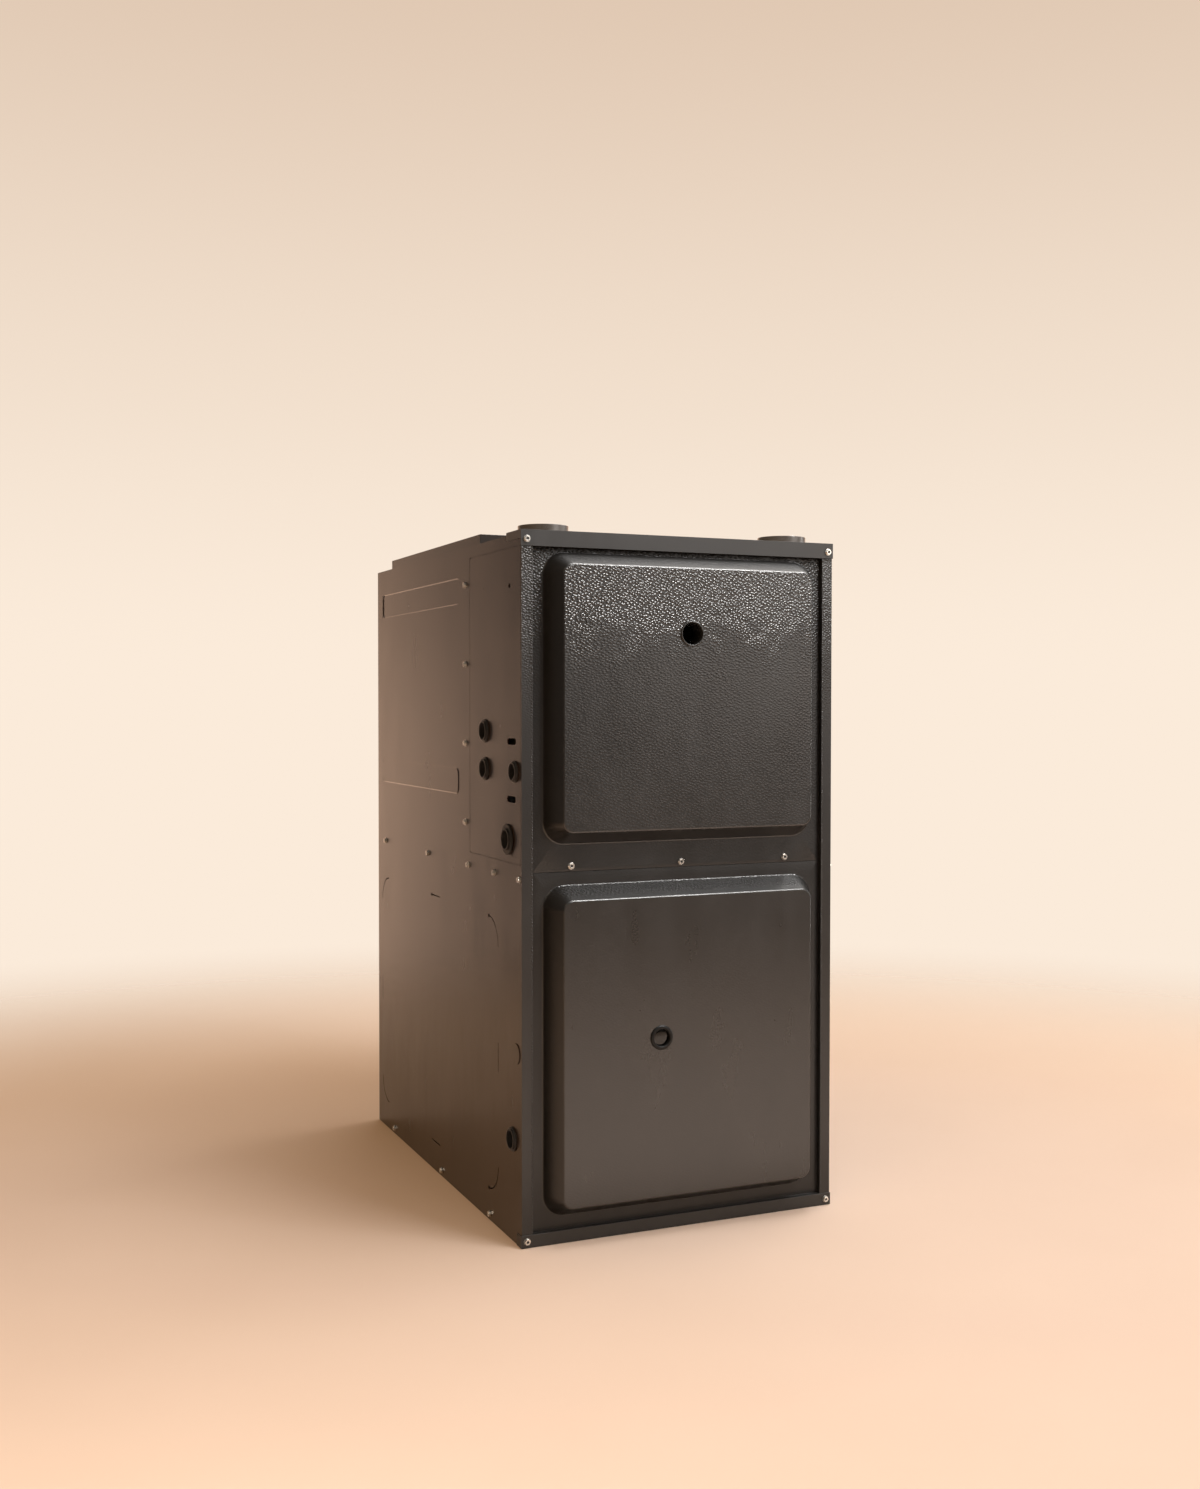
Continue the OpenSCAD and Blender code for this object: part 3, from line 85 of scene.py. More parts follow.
# ---------------------------------------------------------------- camera
IMAGE_HEIGHT_PX = 1489
FOCAL_PX = 1564.3
SENSOR_MM = 36
CAMERA_PLACE = (-0.8951, -2.11745, 0.6743)
PAN, TILT, ROLL = math.radians(-23.38), math.radians(90 - 1.47), math.radians(0.04)

camera = bpy.data.objects.new("camera", bpy.data.cameras.new("camera"))
scene.collection.objects.link(camera)
camera.data.sensor_fit = "AUTO"
camera.data.sensor_width = SENSOR_MM
camera.data.lens = FOCAL_PX * SENSOR_MM / IMAGE_HEIGHT_PX
camera.location = CAMERA_PLACE
camera.rotation_euler = (
    Matrix.Rotation(PAN, 3, "Z") @ Matrix.Rotation(TILT, 3, "X") @ Matrix.Rotation(ROLL, 3, "Z")).to_euler()
scene.camera = camera


# ---------------------------------------------------------------- node graphs
class Graph:
    """A procedural node tree. place is the coordinate that its patterns lie in."""

    def __init__(self, tree, coordinate):
        self.tree = tree
        self.place = self.add("ShaderNodeTexCoord").outputs[coordinate]

    def add(self, kind, sockets=None, **settings):
        """A node with these settings, and with these values or links on its inputs."""
        node = self.tree.nodes.new(kind)
        for key, value in settings.items():
            setattr(node, key, value)
        for key, value in (sockets or {}).items():
            self.put(node.inputs[key], value)
        return node

    def put(self, socket, value):
        if isinstance(value, bpy.types.NodeSocket):
            self.tree.links.new(value, socket)
        else:
            socket.default_value = value

    def vector(self, operation, *values):
        return self.add("ShaderNodeVectorMath", dict(enumerate(values)), operation=operation).outputs

    def axes(self, vector=None):
        """The X, Y and Z of a vector, or else of the place."""
        return self.add("ShaderNodeSeparateXYZ", {0: vector or self.place}).outputs

    def stretched(self, factors):
        return self.vector("MULTIPLY", self.place, factors)[0]

    def noise(self, size, detail=3.0, roughness=0.55, vector=None, distortion=0.0, output="Fac"):
        sockets = {"Vector": vector or self.place, "Scale": 1 / size, "Detail": detail, "Roughness": roughness,
                   "Distortion": distortion}
        return self.add("ShaderNodeTexNoise", sockets).outputs[output]

    def remap(self, value, low, high, to_low, to_high, smooth=False):
        """value from low..high to to_low..to_high, and level beyond."""
        sockets = {"Value": value, "From Min": low, "From Max": high, "To Min": to_low, "To Max": to_high}
        kind = "SMOOTHSTEP" if smooth else "LINEAR"
        return self.add("ShaderNodeMapRange", sockets, clamp=True, interpolation_type=kind).outputs["Result"]

    def math(self, operation, a, b=0.0):
        return self.add("ShaderNodeMath", {0: a, 1: b}, operation=operation).outputs[0]

    def mix(self, factor, a, b):
        """Two colours mixed. Each is a socket or three numbers."""
        a, b = (value if isinstance(value, bpy.types.NodeSocket) else (*value, 1) for value in (a, b))
        return self.add("ShaderNodeMix", {0: factor, 6: a, 7: b}, data_type="RGBA").outputs[2]

    def bump(self, height, distance, strength=1.0, under=None):
        node = self.add("ShaderNodeBump", {"Strength": strength, "Distance": distance, "Height": height})
        if under is not None:
            self.put(node.inputs["Normal"], under)
        return node.outputs["Normal"]


class Material(Graph):
    """One material: a Principled shader and the nodes that feed it."""

    def __init__(self, name):
        self.mat = bpy.data.materials.new(name)
        self.mat.use_nodes = True
        super().__init__(self.mat.node_tree, "Object")
        self.shader = self.tree.nodes["Principled BSDF"]

    def set(self, **values):
        for key, value in values.items():
            self.put(self.shader.inputs[key.replace("_", " ").title().replace("Ior", "IOR")], value)


def shade(color, factor):
    return tuple(min(1.0, c * factor) for c in color)


# ---------------------------------------------------------------- materials
def pebble_height(g, size):
    """Blisters in winding diagonal rows, as on leather-grained steel, pressed into the sheet from the front."""
    wander_size, wander, row_angle, row_stretch = 16 * MM, 5 * MM, math.radians(-52), (0.78, 1.2, 1.0)
    shift = g.noise(wander_size, detail=1.0, output="Color")
    moved = g.axes(g.vector("MULTIPLY_ADD", shift, (wander,) * 3, g.place)[0])
    flat = g.add("ShaderNodeCombineXYZ", {0: moved["X"], 1: moved["Z"]}).outputs[0]
    rows = g.add("ShaderNodeMapping", {"Vector": flat, "Rotation": (0, 0, row_angle), "Scale": row_stretch})
    cells = g.add("ShaderNodeTexVoronoi", {"Vector": rows.outputs[0], "Scale": 1 / size, "Smoothness": 0.12,
                                           "Randomness": 0.62}, voronoi_dimensions="2D", feature="SMOOTH_F1")
    return g.remap(cells.outputs["Distance"], 0.05, 0.55, 1, 0, smooth=True)


# heights over which the grain comes or goes
UPPER_DOOR_FADE, SEAM_FADE, STRIP_FADE = (0.7, 0.87), (0.4, 0.55), (0.6, 0.86)
LOWER_PANEL_TOP, LOWER_PANEL_END, UPPER_PANEL_TOP = (0.4345, 0.437), (0.448, 0.449), (0.8495, 0.852)
PATCH_SHIFT = 0.02
# distances from the cabinet's middle, over the folded inner edge of a corner strip
FOLD_START, FOLD_DOTS = (206.4 * MM, 206.8 * MM), (207.2 * MM, 209.5 * MM)


def grain_on_doors(g):
    """Deep at the top of the furnace, and smooth towards the floor."""
    z = g.axes()["Z"]
    patchy = g.remap(g.noise(30 * MM, detail=2.0), 0.3, 0.65, -PATCH_SHIFT, PATCH_SHIFT)
    grained = g.remap(g.math("ADD", z, patchy), *UPPER_DOOR_FADE, 0.14, 1, smooth=True)
    return g.math("MULTIPLY", grained, g.remap(z, *SEAM_FADE, 0.3, 1))


def grain_on_slopes(g):
    """The slopes are drawn smooth, except along the top of each raised panel."""
    z = g.axes()["Z"]
    begins, ends = g.remap(z, *LOWER_PANEL_TOP, 0.03, 0.7), g.remap(z, *LOWER_PANEL_END, 1, 0.03)
    return g.math("MAXIMUM", g.math("MULTIPLY", begins, ends), g.remap(z, *UPPER_PANEL_TOP, 0.03, 0.3))


def grain_on_strips(g):
    """A dotted line along the folded inner edge, more of it near the top, and none inside the fold."""
    place = g.axes()
    across = g.math("ABSOLUTE", place["X"])
    dots = g.remap(across, *FOLD_DOTS, 0.8, 0)
    grained = g.math("MAXIMUM", dots, g.remap(place["Z"], *STRIP_FADE, 0.06, 0.8, smooth=True))
    return g.math("MULTIPLY", grained, g.remap(across, *FOLD_START, 0, 1))


def paint(name, color, rough, pebble=None, depth=0.0, where=grain_on_doors, specular=0.5):
    """Baked enamel: faint tone drift, fine specks, smears, orange peel, and pebble grain where asked."""
    g = Material(name)
    drift = g.remap(g.noise(160 * MM, detail=4.0), 0.3, 0.7, 0, 1)
    tone = g.mix(drift, shade(color, 0.88), shade(color, 1.14))
    speck = g.remap(g.noise(0.55 * MM, detail=1.0), 0.35, 0.75, 0, 0.5)
    tone = g.mix(speck, tone, shade(color, 1.35))
    smear = g.noise(50 * MM, detail=5.0, roughness=0.65, vector=g.stretched((1.0, 1.0, 0.35)))
    sheen = g.remap(smear, 0.3, 0.72, *rough)
    if where is grain_on_slopes:
        # the slopes that face up are duller
        upward = g.axes(g.add("ShaderNodeNewGeometry").outputs["True Normal"])["Z"]
        sheen = g.math("ADD", sheen, g.remap(upward, 0.6, 0.88, 0, 0.16))
    relief = g.bump(g.noise(2.4 * MM, detail=2.0), 0.03 * MM, 0.5)
    if pebble:
        relief = g.bump(g.math("MULTIPLY", pebble_height(g, pebble), where(g)), depth, under=relief)
    g.set(base_color=tone, roughness=sheen, normal=relief, specular_ior_level=specular)
    return g.mat


def metal(name, color, rough, kind, size, depth=0.02 * MM):
    """Bare metal: rolled, spangled zinc, cast or turned."""
    g = Material(name)
    if kind == "spangle":
        cells = g.add("ShaderNodeTexVoronoi", {"Vector": g.place, "Scale": 1 / size}, feature="F1")
        grain = g.add("ShaderNodeSeparateColor", {0: cells.outputs["Color"]}).outputs[0]
        height = g.noise(size * 1.5, detail=2.0)
    elif kind == "cast":
        grain = height = g.noise(size, detail=4.0, roughness=0.7)
    else:
        along = {"rolled": (1.0, 0.06, 1.0), "turned": (0.3, 1.0, 1.0)}[kind]
        grain = height = g.noise(size, vector=g.stretched(along))
    stain = g.noise(60 * MM, detail=4.0, roughness=0.65)
    spread = 0.06 if kind == "spangle" else 0.15
    tone = g.mix(g.remap(grain, 0.2, 0.8, 0, 1), shade(color, 0.97 - spread), shade(color, 0.97 + spread))
    tone = g.mix(g.remap(stain, 0.52, 0.75, 0, 0.3), tone, shade(color, 0.6))
    sheen = g.remap(g.math("ADD", grain, stain), 0.6, 1.4, *rough)
    g.set(metallic=1.0, base_color=tone, roughness=sheen, normal=g.bump(height, depth))
    return g.mat


def moulded(name, color, rough, size=0.7 * MM, depth=0.02 * MM, specular=0.5, drift=0.14):
    """Moulded plastic, rubber or ceramic: fine spark texture, faint flow marks and a little dust."""
    g = Material(name)
    spark = g.noise(size, roughness=0.6)
    flow = g.noise(30 * MM, distortion=0.6)
    tone = g.mix(g.remap(flow, 0.3, 0.7, 0, 1), shade(color, 1 - drift), shade(color, 1 + drift))
    tone = g.mix(g.remap(spark, 0.55, 0.8, 0, 0.35), tone, shade(color, 1 + 3 * drift))
    sheen = g.remap(g.math("ADD", flow, spark), 0.7, 1.3, *rough)
    g.set(base_color=tone, roughness=sheen, normal=g.bump(spark, depth), specular_ior_level=specular)
    return g.mat


def foil_felt(name):
    """Glass wool with a rough foil face."""
    g = Material(name)
    fibre = g.noise(1.2 * MM, detail=5.0, roughness=0.75, distortion=1.5)
    crinkle = g.noise(14 * MM, detail=4.0, roughness=0.6)
    tone = g.mix(g.remap(fibre, 0.3, 0.7, 0, 1), (0.44, 0.45, 0.44), (0.7, 0.7, 0.68))
    tone = g.mix(g.remap(crinkle, 0.45, 0.6, 0, 0.4), tone, (0.38, 0.39, 0.39))
    relief = g.bump(g.math("ADD", fibre, crinkle), 0.5 * MM, 0.8)
    g.set(base_color=tone, metallic=0.35, roughness=g.remap(fibre, 0.3, 0.7, 0.42, 0.7), normal=relief,
          sheen_weight=0.25)
    return g.mat


def glass(name):
    """Nearly black sight glass with a faint film."""
    g = Material(name)
    film = g.noise(4 * MM, detail=4.0)
    tone = g.mix(g.remap(film, 0.4, 0.7, 0, 1), (0.008, 0.009, 0.009), (0.004, 0.0045, 0.0045))
    g.set(base_color=tone, roughness=g.remap(film, 0.35, 0.7, 0.05, 0.12), transmission_weight=0.5, ior=1.49,
          specular_ior_level=0.4)
    return g.mat


def board(name):
    """Solder-masked board with faint copper runs under the mask."""
    g = Material(name)
    runs = g.add("ShaderNodeTexBrick", {"Vector": g.place, "Scale": 90, "Color1": (0.018, 0.13, 0.05, 1),
                                        "Color2": (0.02, 0.15, 0.06, 1), "Mortar": (0.05, 0.24, 0.1, 1)})
    drift = g.noise(9 * MM)
    tone = g.mix(g.remap(drift, 0.35, 0.65, 0, 0.5), runs.outputs["Color"], (0.015, 0.1, 0.045))
    g.set(base_color=tone, roughness=g.remap(drift, 0.3, 0.7, 0.25, 0.45),
          normal=g.bump(runs.outputs["Fac"], 0.04 * MM))
    return g.mat


M = {}


def made(maker, name, *values, **options):
    M[name] = maker(name, *values, **options)


DOOR_BLACK = (0.010, 0.0095, 0.009)
ALUMINIUM = (0.6, 0.61, 0.62)
made(paint, "cabinet_paint", (0.02, 0.0122, 0.0085), (0.2, 0.28))
made(paint, "strip_paint", (0.015, 0.0145, 0.014), (0.32, 0.4), 3.2 * MM, 0.6 * MM, grain_on_strips)
made(paint, "rail_paint", (0.019, 0.019, 0.019), (0.34, 0.44))
made(paint, "door_paint", DOOR_BLACK, (0.26, 0.34), 3.8 * MM, 0.85 * MM, specular=0.75)
made(paint, "door_slope", DOOR_BLACK, (0.28, 0.34), 3.4 * MM, 0.5 * MM, grain_on_slopes, specular=0.75)
# the flat border is a darker, duller copy of the door's paint: painted shade from the raised panels around it
made(paint, "door_border", (0.009, 0.0088, 0.0085), (0.32, 0.42), 3.8 * MM, 0.8 * MM)
made(paint, "motor_paint", (0.045, 0.047, 0.05), (0.34, 0.5))
made(metal, "galvanised_steel", (0.56, 0.57, 0.58), (0.36, 0.46), "spangle", 6 * MM, 0.01 * MM)
made(metal, "zinc_screws", (0.78, 0.76, 0.71), (0.2, 0.36), "cast", 1.2 * MM)
made(metal, "black_iron", (0.09, 0.09, 0.092), (0.42, 0.62), "cast", 1.5 * MM, 0.08 * MM)
made(metal, "cast_aluminium", ALUMINIUM, (0.38, 0.55), "cast", 1.1 * MM, 0.1 * MM)
made(metal, "brass", (0.62, 0.44, 0.17), (0.22, 0.4), "turned", 1 * MM)
made(metal, "tube_steel", (0.5, 0.48, 0.45), (0.24, 0.46), "rolled", 2 * MM)
made(metal, "transformer_iron", (0.24, 0.19, 0.13), (0.45, 0.65), "rolled", 0.8 * MM, 0.06 * MM)
made(metal, "aluminium_fins", ALUMINIUM, (0.28, 0.45), "rolled", 2 * MM)
made(moulded, "collar_plastic", (0.13, 0.124, 0.12), (0.24, 0.36))
made(moulded, "bezel_plastic", (0.006, 0.006, 0.006), (0.3, 0.42), specular=0.2)
made(moulded, "black_plastic", (0.016, 0.016, 0.017), (0.34, 0.52))
made(moulded, "black_rubber", (0.014, 0.014, 0.014), (0.5, 0.7))
made(moulded, "red_plastic", (0.42, 0.05, 0.028), (0.3, 0.45))
made(moulded, "white_plastic", (0.72, 0.72, 0.69), (0.32, 0.46), drift=0.04)
made(moulded, "ceramic", (0.7, 0.67, 0.6), (0.4, 0.6), 0.4 * MM, 0.03 * MM, drift=0.06)
made(moulded, "white_pvc", (0.7, 0.69, 0.65), (0.22, 0.36), 5 * MM, 0.03 * MM, drift=0.03)
made(moulded, "coil_tape", (0.42, 0.3, 0.1), (0.3, 0.45), 2 * MM, 0.04 * MM)
# near-black painted shade: laid on the doors' cut edges, on the deck's front edge behind the door seam and
# inside the screw drives
made(moulded, "recess", (0.008, 0.008, 0.008), (0.6, 0.8))
made(foil_felt, "insulation")
made(glass, "sight_glass")
made(board, "circuit_board")


# ---------------------------------------------------------------- mesh helpers
def put_object(name, mesh, *mats):
    obj = bpy.data.objects.new(name, mesh)
    scene.collection.objects.link(obj)
    for mat in mats:
        mesh.materials.append(mat)
    return obj


def from_bmesh(name, bm, *mats, sharp=50):
    """An object from the mesh, smooth up to this many degrees between faces."""
    bmesh.ops.recalc_face_normals(bm, faces=bm.faces)
    mesh = bpy.data.meshes.new(name)
    bm.to_mesh(mesh)
    bm.free()
    mesh.shade_smooth()
    mesh.set_sharp_from_angle(angle=math.radians(sharp))
    return put_object(name, mesh, *mats)


def even_normals(obj):
    mod = obj.modifiers.new("even_normals", "WEIGHTED_NORMAL")
    mod.keep_sharp = True


def own(obj, *replaced, body=None, slot=None):
    """obj stands for these nodes and moves with their body."""
    if replaced:
        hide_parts(*replaced)
    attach(obj, body or body_of[replaced[0]])
    slot or slot_of[replaced[0]]
    return obj


def clean_copy(node):
    """A CAD node's mesh as clean flat polygons, without its import seams or stored normals."""
    src = nodes[node].data
    mesh = bpy.data.meshes.new(node + "_copy")
    mesh.from_pydata([v.co[:] for v in src.vertices], [], [p.vertices[:] for p in src.polygons])
    bm = bmesh.new()
    bm.from_mesh(mesh)
    bpy.data.meshes.remove(mesh)
    bmesh.ops.remove_doubles(bm, verts=bm.verts, dist=WELD)
    bmesh.ops.dissolve_degenerate(bm, edges=bm.edges, dist=SPECK)
    bmesh.ops.dissolve_limit(bm, angle_limit=FLAT, verts=bm.verts, edges=bm.edges)
    return bm


def soften(bm, width, segments=2):
    edges = [e for e in bm.edges if len(e.link_faces) == 2 and e.calc_face_angle(0) > CREASE]
    bmesh.ops.bevel(bm, geom=edges, offset=width, offset_type="OFFSET", segments=segments, profile=0.5,
                    affect="EDGES", clamp_overlap=True)


def bevelled(node, ending, width=0.3 * MM, segments=2, mats=None, choose=None, adjust=None):
    """The node's own shape with softened edges, in its place. choose gives a face's material by its middle."""
    bm = clean_copy(node)
    if adjust:
        adjust(bm)
    soften(bm, width, segments)
    if choose:
        for face in bm.faces:
            face.material_index = choose(face.calc_center_median())
    obj = from_bmesh(node + ending, bm, *(M[m] for m in mats or [slot_of[node]]), sharp=62)
    even_normals(obj)
    return own(obj, node)


def ring(bm, half, z0, z1, radius, y, cx=0.0, steps=10):
    """One rounded-rectangle loop of vertices in the plane y, anticlockwise seen from the front."""
    verts = []
    for quarter, (x, z) in enumerate(((half, z1), (-half, z1), (-half, z0), (half, z0))):
        mx = cx + x - math.copysign(radius, x)
        mz = z - radius if z == z1 else z + radius
        for i in range(steps + 1):
            a = math.radians(90 * (quarter + i / steps))
            verts.append(bm.verts.new((mx + radius * math.cos(a), y, mz + radius * math.sin(a))))
    return verts


def circle(bm, x, z, radius, y, steps=48):
    turns = [math.tau * i / steps for i in range(steps)]
    return [bm.verts.new((x + radius * math.cos(a), y, z + radius * math.sin(a))) for a in turns]


def skin(bm, rings):
    """Faces between each loop of vertices and the next."""
    for low, high in zip(rings, rings[1:]):
        count = len(low)
        for i in range(count):
            j = (i + 1) % count
            bm.faces.new((low[i], low[j], high[j], high[i]))


def flat_fill(bm, *loops):
    """A flat face with these loops as its outline and holes."""
    edges = []
    for verts in loops:
        edges += [bm.edges.get(pair) or bm.edges.new(pair) for pair in zip(verts, verts[1:] + verts[:1])]
    bmesh.ops.triangle_fill(bm, use_beauty=True, use_dissolve=False, edges=edges)


def lathe(name, profile, origin, mat, steps=64):
    """A closed turned piece. profile is (radius, height) pairs, with height out of the furnace's front."""
    bm = bmesh.new()
    turns = [math.tau * i / steps for i in range(steps)]
    rings = [[bm.verts.new((r * math.cos(a), r * math.sin(a), h)) for a in turns] for r, h in profile]
    skin(bm, rings + [rings[0]])
    bm.transform(Matrix.Translation(origin) @ Matrix.Rotation(math.radians(90), 4, "X"))
    return from_bmesh(name, bm, M[mat], sharp=45)


def in_mm(*pairs):
    return [(a * MM, b * MM) for a, b in pairs]


# ---------------------------------------------------------------- doors
CORNER_SHRINK = 0.95            # of a slope's inset, off the corner radius
CORNER_LEAST = 4 * MM
DOOR_R, SCREW_HOLE_R = 1.2 * MM, 2 * MM


def bend_profile(depth, inset, foot_r, top_r, steps=6):
    """(inset, forward) points up one slope of the raised panel, with both bends rounded."""
    slope = math.atan2(depth, inset)
    foot_reach, top_reach = foot_r * math.tan(slope / 2), top_r * math.tan(slope / 2)
    points = []
    for i in range(steps + 1):
        a = slope * i / steps
        points.append((-foot_reach + foot_r * math.sin(a), foot_r * (1 - math.cos(a))))
    for i in range(steps + 1):
        a = slope * (1 - i / steps)
        points.append((inset + top_reach - top_r * math.sin(a), depth - top_r * (1 - math.cos(a))))
    return points


def door_face(middle):
    """Raised face 0, flat border 1, slopes between them 2."""
    if middle.y > BORDER_Y - 0.1 * MM:
        return 1
    return 2 if middle.y > PILLOW_Y + 0.05 * MM else 0


def door(name, z0, z1, pillow_z0, pillow_z1, hole, screw_holes=()):
    """A door sheet with its raised panel, the hole in that panel and the screw holes in the border."""
    bm = bmesh.new()
    rings = []
    for inset, forward in bend_profile(BORDER_Y - PILLOW_Y, PILLOW_INSET, FOOT_BEND, FACE_BEND):
        radius = max(PILLOW_R - inset * CORNER_SHRINK, CORNER_LEAST)
        rings.append(ring(bm, PILLOW_HALF - inset, pillow_z0 + inset, pillow_z1 - inset, radius,
                          BORDER_Y - forward))
    skin(bm, rings)
    x, z, radius = hole
    flat_fill(bm, rings[-1], circle(bm, x, z, radius, PILLOW_Y))
    edge = ring(bm, DOOR_HALF, z0, z1, DOOR_R, BORDER_Y, steps=4)
    flat_fill(bm, rings[0], edge, *[circle(bm, sx, sz, SCREW_HOLE_R, BORDER_Y, 24) for sx, sz in screw_holes])
    bmesh.ops.recalc_face_normals(bm, faces=bm.faces)
    front = max(bm.faces, key=lambda f: -f.calc_center_median().y)
    if front.normal.y > 0:
        bmesh.ops.reverse_faces(bm, faces=bm.faces)
    mesh = bpy.data.meshes.new(name)
    bm.to_mesh(mesh)
    bm.free()
    mesh.shade_smooth()
    # slot 1, the flat border, is the door paint darkened as painted shade
    obj = put_object(name, mesh, M["door_paint"], M["door_border"], M["door_slope"], M["recess"])
    for face in mesh.polygons:
        face.material_index = door_face(face.center)
    thick = obj.modifiers.new("sheet", "SOLIDIFY")
    thick.thickness, thick.offset = SHEET, -1
    # the sheet's cut edges take near-black painted shade, so the seams between the doors read dark
    thick.material_offset_rim = 3
    even_normals(obj)
    return obj


UPPER = dict(z0=465.4 * MM, z1=868.6 * MM, pillow_z0=500.4 * MM, pillow_z1=862.6 * MM)
LOWER = dict(z0=19 * MM, z1=464.6 * MM, pillow_z0=34 * MM, pillow_z1=447.6 * MM)
SIGHT = (0.0, 764 * MM, 14.25 * MM)             # x, z and radius of the upper door's hole
WINDOW = (-42 * MM, 253 * MM, 12.25 * MM)       # the same of the lower door's
SIGHT_PLACE, WINDOW_PLACE = (SIGHT[0], PILLOW_Y, SIGHT[1]), (WINDOW[0], PILLOW_Y, WINDOW[1])
SCREW_LINE = [(i * 153 * MM, 472 * MM) for i in (-1, 0, 1)]
RIM_PROFILE = in_mm((14.25, -5), (14.25, 1.5), (14.6, 1.9), (15.1, 2), (15.8, 1.7), (16.3, 1.0), (16.5, 0.1),
                    (15.2, -0.4), (15.0, -5))
SLEEVE_PROFILE = in_mm((14.3, -1.5), (15.6, -1.5), (15.6, -24), (18, -24), (18, -25), (14.3, -25))
BEZEL_PROFILE = in_mm((11, -7.5), (11, 1.2), (11.5, 1.8), (12.4, 2), (14.4, 1.7), (15.4, 1.0), (15.75, 0.1),
                      (12.2, 0.0), (12.2, -7.5))

upper = door("upper_door_sheet", hole=SIGHT, screw_holes=SCREW_LINE, **UPPER)
rim = lathe("upper_sight_rim", RIM_PROFILE, SIGHT_PLACE, "rail_paint")
sleeve = lathe("upper_sight_sleeve", SLEEVE_PROFILE, SIGHT_PLACE, "black_rubber")
own(sleeve, body=body_of["upper_door"], slot="black_rubber")
own(upper, "upper_door")
own(rim, body=body_of["upper_door"], slot="door_paint")
own(door("lower_door_sheet", hole=WINDOW, **LOWER), "lower_door")
own(lathe("sight_bezel_ring", BEZEL_PROFILE, WINDOW_PLACE, "bezel_plastic"), "sight_bezel")

# the window's dome: a low cushion on a short straight edge
low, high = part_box("sight_lens")
lens_r, lens_half = (high.x - low.x) / 2, (high.y - low.y) / 2
PIN_R = 0.02 * MM               # closes the turned shape at its middle
DOME_STEPS = 10
dome = [(PIN_R, lens_half)]
for i in range(1, DOME_STEPS + 1):
    turn = i / DOME_STEPS * math.pi / 2
    dome.append((lens_r * math.sin(turn), lens_half * (0.15 + 0.85 * math.cos(turn))))
dome += [(lens_r, -lens_half + 0.2 * MM), (lens_r - 0.3 * MM, -lens_half), (PIN_R, -lens_half)]
own(lathe("sight_lens_dome", dome, (low + high) / 2, "sight_glass"), "sight_lens")


# ---------------------------------------------------------------- door insulation
BATT_EDGE = 5 * MM
BATT_CORNER = 9 * MM
BATT_LOOPS = ((0.6, 0.0), (0.1, 0.12), (0.0, 0.35), (0.0, 0.65), (0.1, 0.88), (0.6, 1.0))   # inset, depth
DIMPLE_X, DIMPLE_Z, DIMPLE_DEPTH = 0.082, 0.09, 1.6 * MM
WAVE_DEPTH = 1.2 * MM


def batt(name, node, hole, hole_r, seed):
    """A glass wool batt with a foil face: rounded edges and shallow quilting dimples."""
    low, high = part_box(node)
    middle = (high + low) / 2
    half = (high.x - low.x) / 2
    bm = bmesh.new()
    loops = []
    for inset, depth in BATT_LOOPS:
        inset *= BATT_EDGE
        loops.append(ring(bm, half - inset, low.z + inset, high.z - inset, BATT_CORNER,
                          low.y + (high.y - low.y) * depth, cx=middle.x, steps=5))
    skin(bm, loops)
    bore = [circle(bm, hole[0], hole[1], hole_r, y, 32) for y in (low.y, high.y)]
    skin(bm, bore)
    flat_fill(bm, loops[0], bore[0])
    flat_fill(bm, loops[-1], bore[1])
    faces = [f for f in bm.faces if abs(f.normal.y) > 0.9]
    edges = list({e for f in faces for e in f.edges})
    bmesh.ops.subdivide_edges(bm, edges=edges, cuts=3, use_grid_fill=True)
    for v in bm.verts:
        wave = noise.noise(Vector((v.co.x * 30, seed, v.co.z * 30))) * WAVE_DEPTH
        waffle = math.cos(v.co.x * math.tau / DIMPLE_X) * math.cos(v.co.z * math.tau / DIMPLE_Z)
        if v.co.y > middle.y:
            v.co.y -= max(0.0, wave) + waffle ** 6 * DIMPLE_DEPTH
        v.co.y = min(max(v.co.y, low.y + 0.1 * MM), high.y)
    obj = own(from_bmesh(name, bm, M["insulation"], sharp=70), node)


batt("upper_insulation_batt", "upper_door_insulation", SIGHT, 16 * MM, seed=1.0)
batt("lower_insulation_batt", "lower_door_insulation", WINDOW, 16.5 * MM, seed=5.0)


# ---------------------------------------------------------------- cabinet sheet
def side_part(middle):
    """Side sheet 0, folded front strip 1."""
    return 1 if middle.y < FRONT + 12.5 * MM and abs(middle.x) < 221.1 * MM else 0


def deck_part(middle):
    """Bare steel 0, front edge 1: near-black painted shade behind the doors' seam."""
    return 1 if middle.y < FRONT + 30 * MM else 0


def drawn_edges(bm):
    """Gives the two pressed panels of a side the sloping edges of drawn sheet."""
    height, lean, slack = 36 * MM, 1.2 * MM, 0.1 * MM
    y0, y1 = FRONT + 247 * MM, FRONT + 629.6 * MM
    for z0, x0, x1 in ((811 * MM, 220.3 * MM, 220.6 * MM), (551 * MM, 221.7 * MM, 222.3 * MM)):
        for v in bm.verts:
            if (x0 < abs(v.co.x) < x1 and y0 - slack < v.co.y < y1 + slack
                    and z0 - slack < v.co.z < z0 + height + slack):
                v.co.y += lean if v.co.y < (y0 + y1) / 2 else -lean
                v.co.z += lean if v.co.z < z0 + height / 2 else -lean


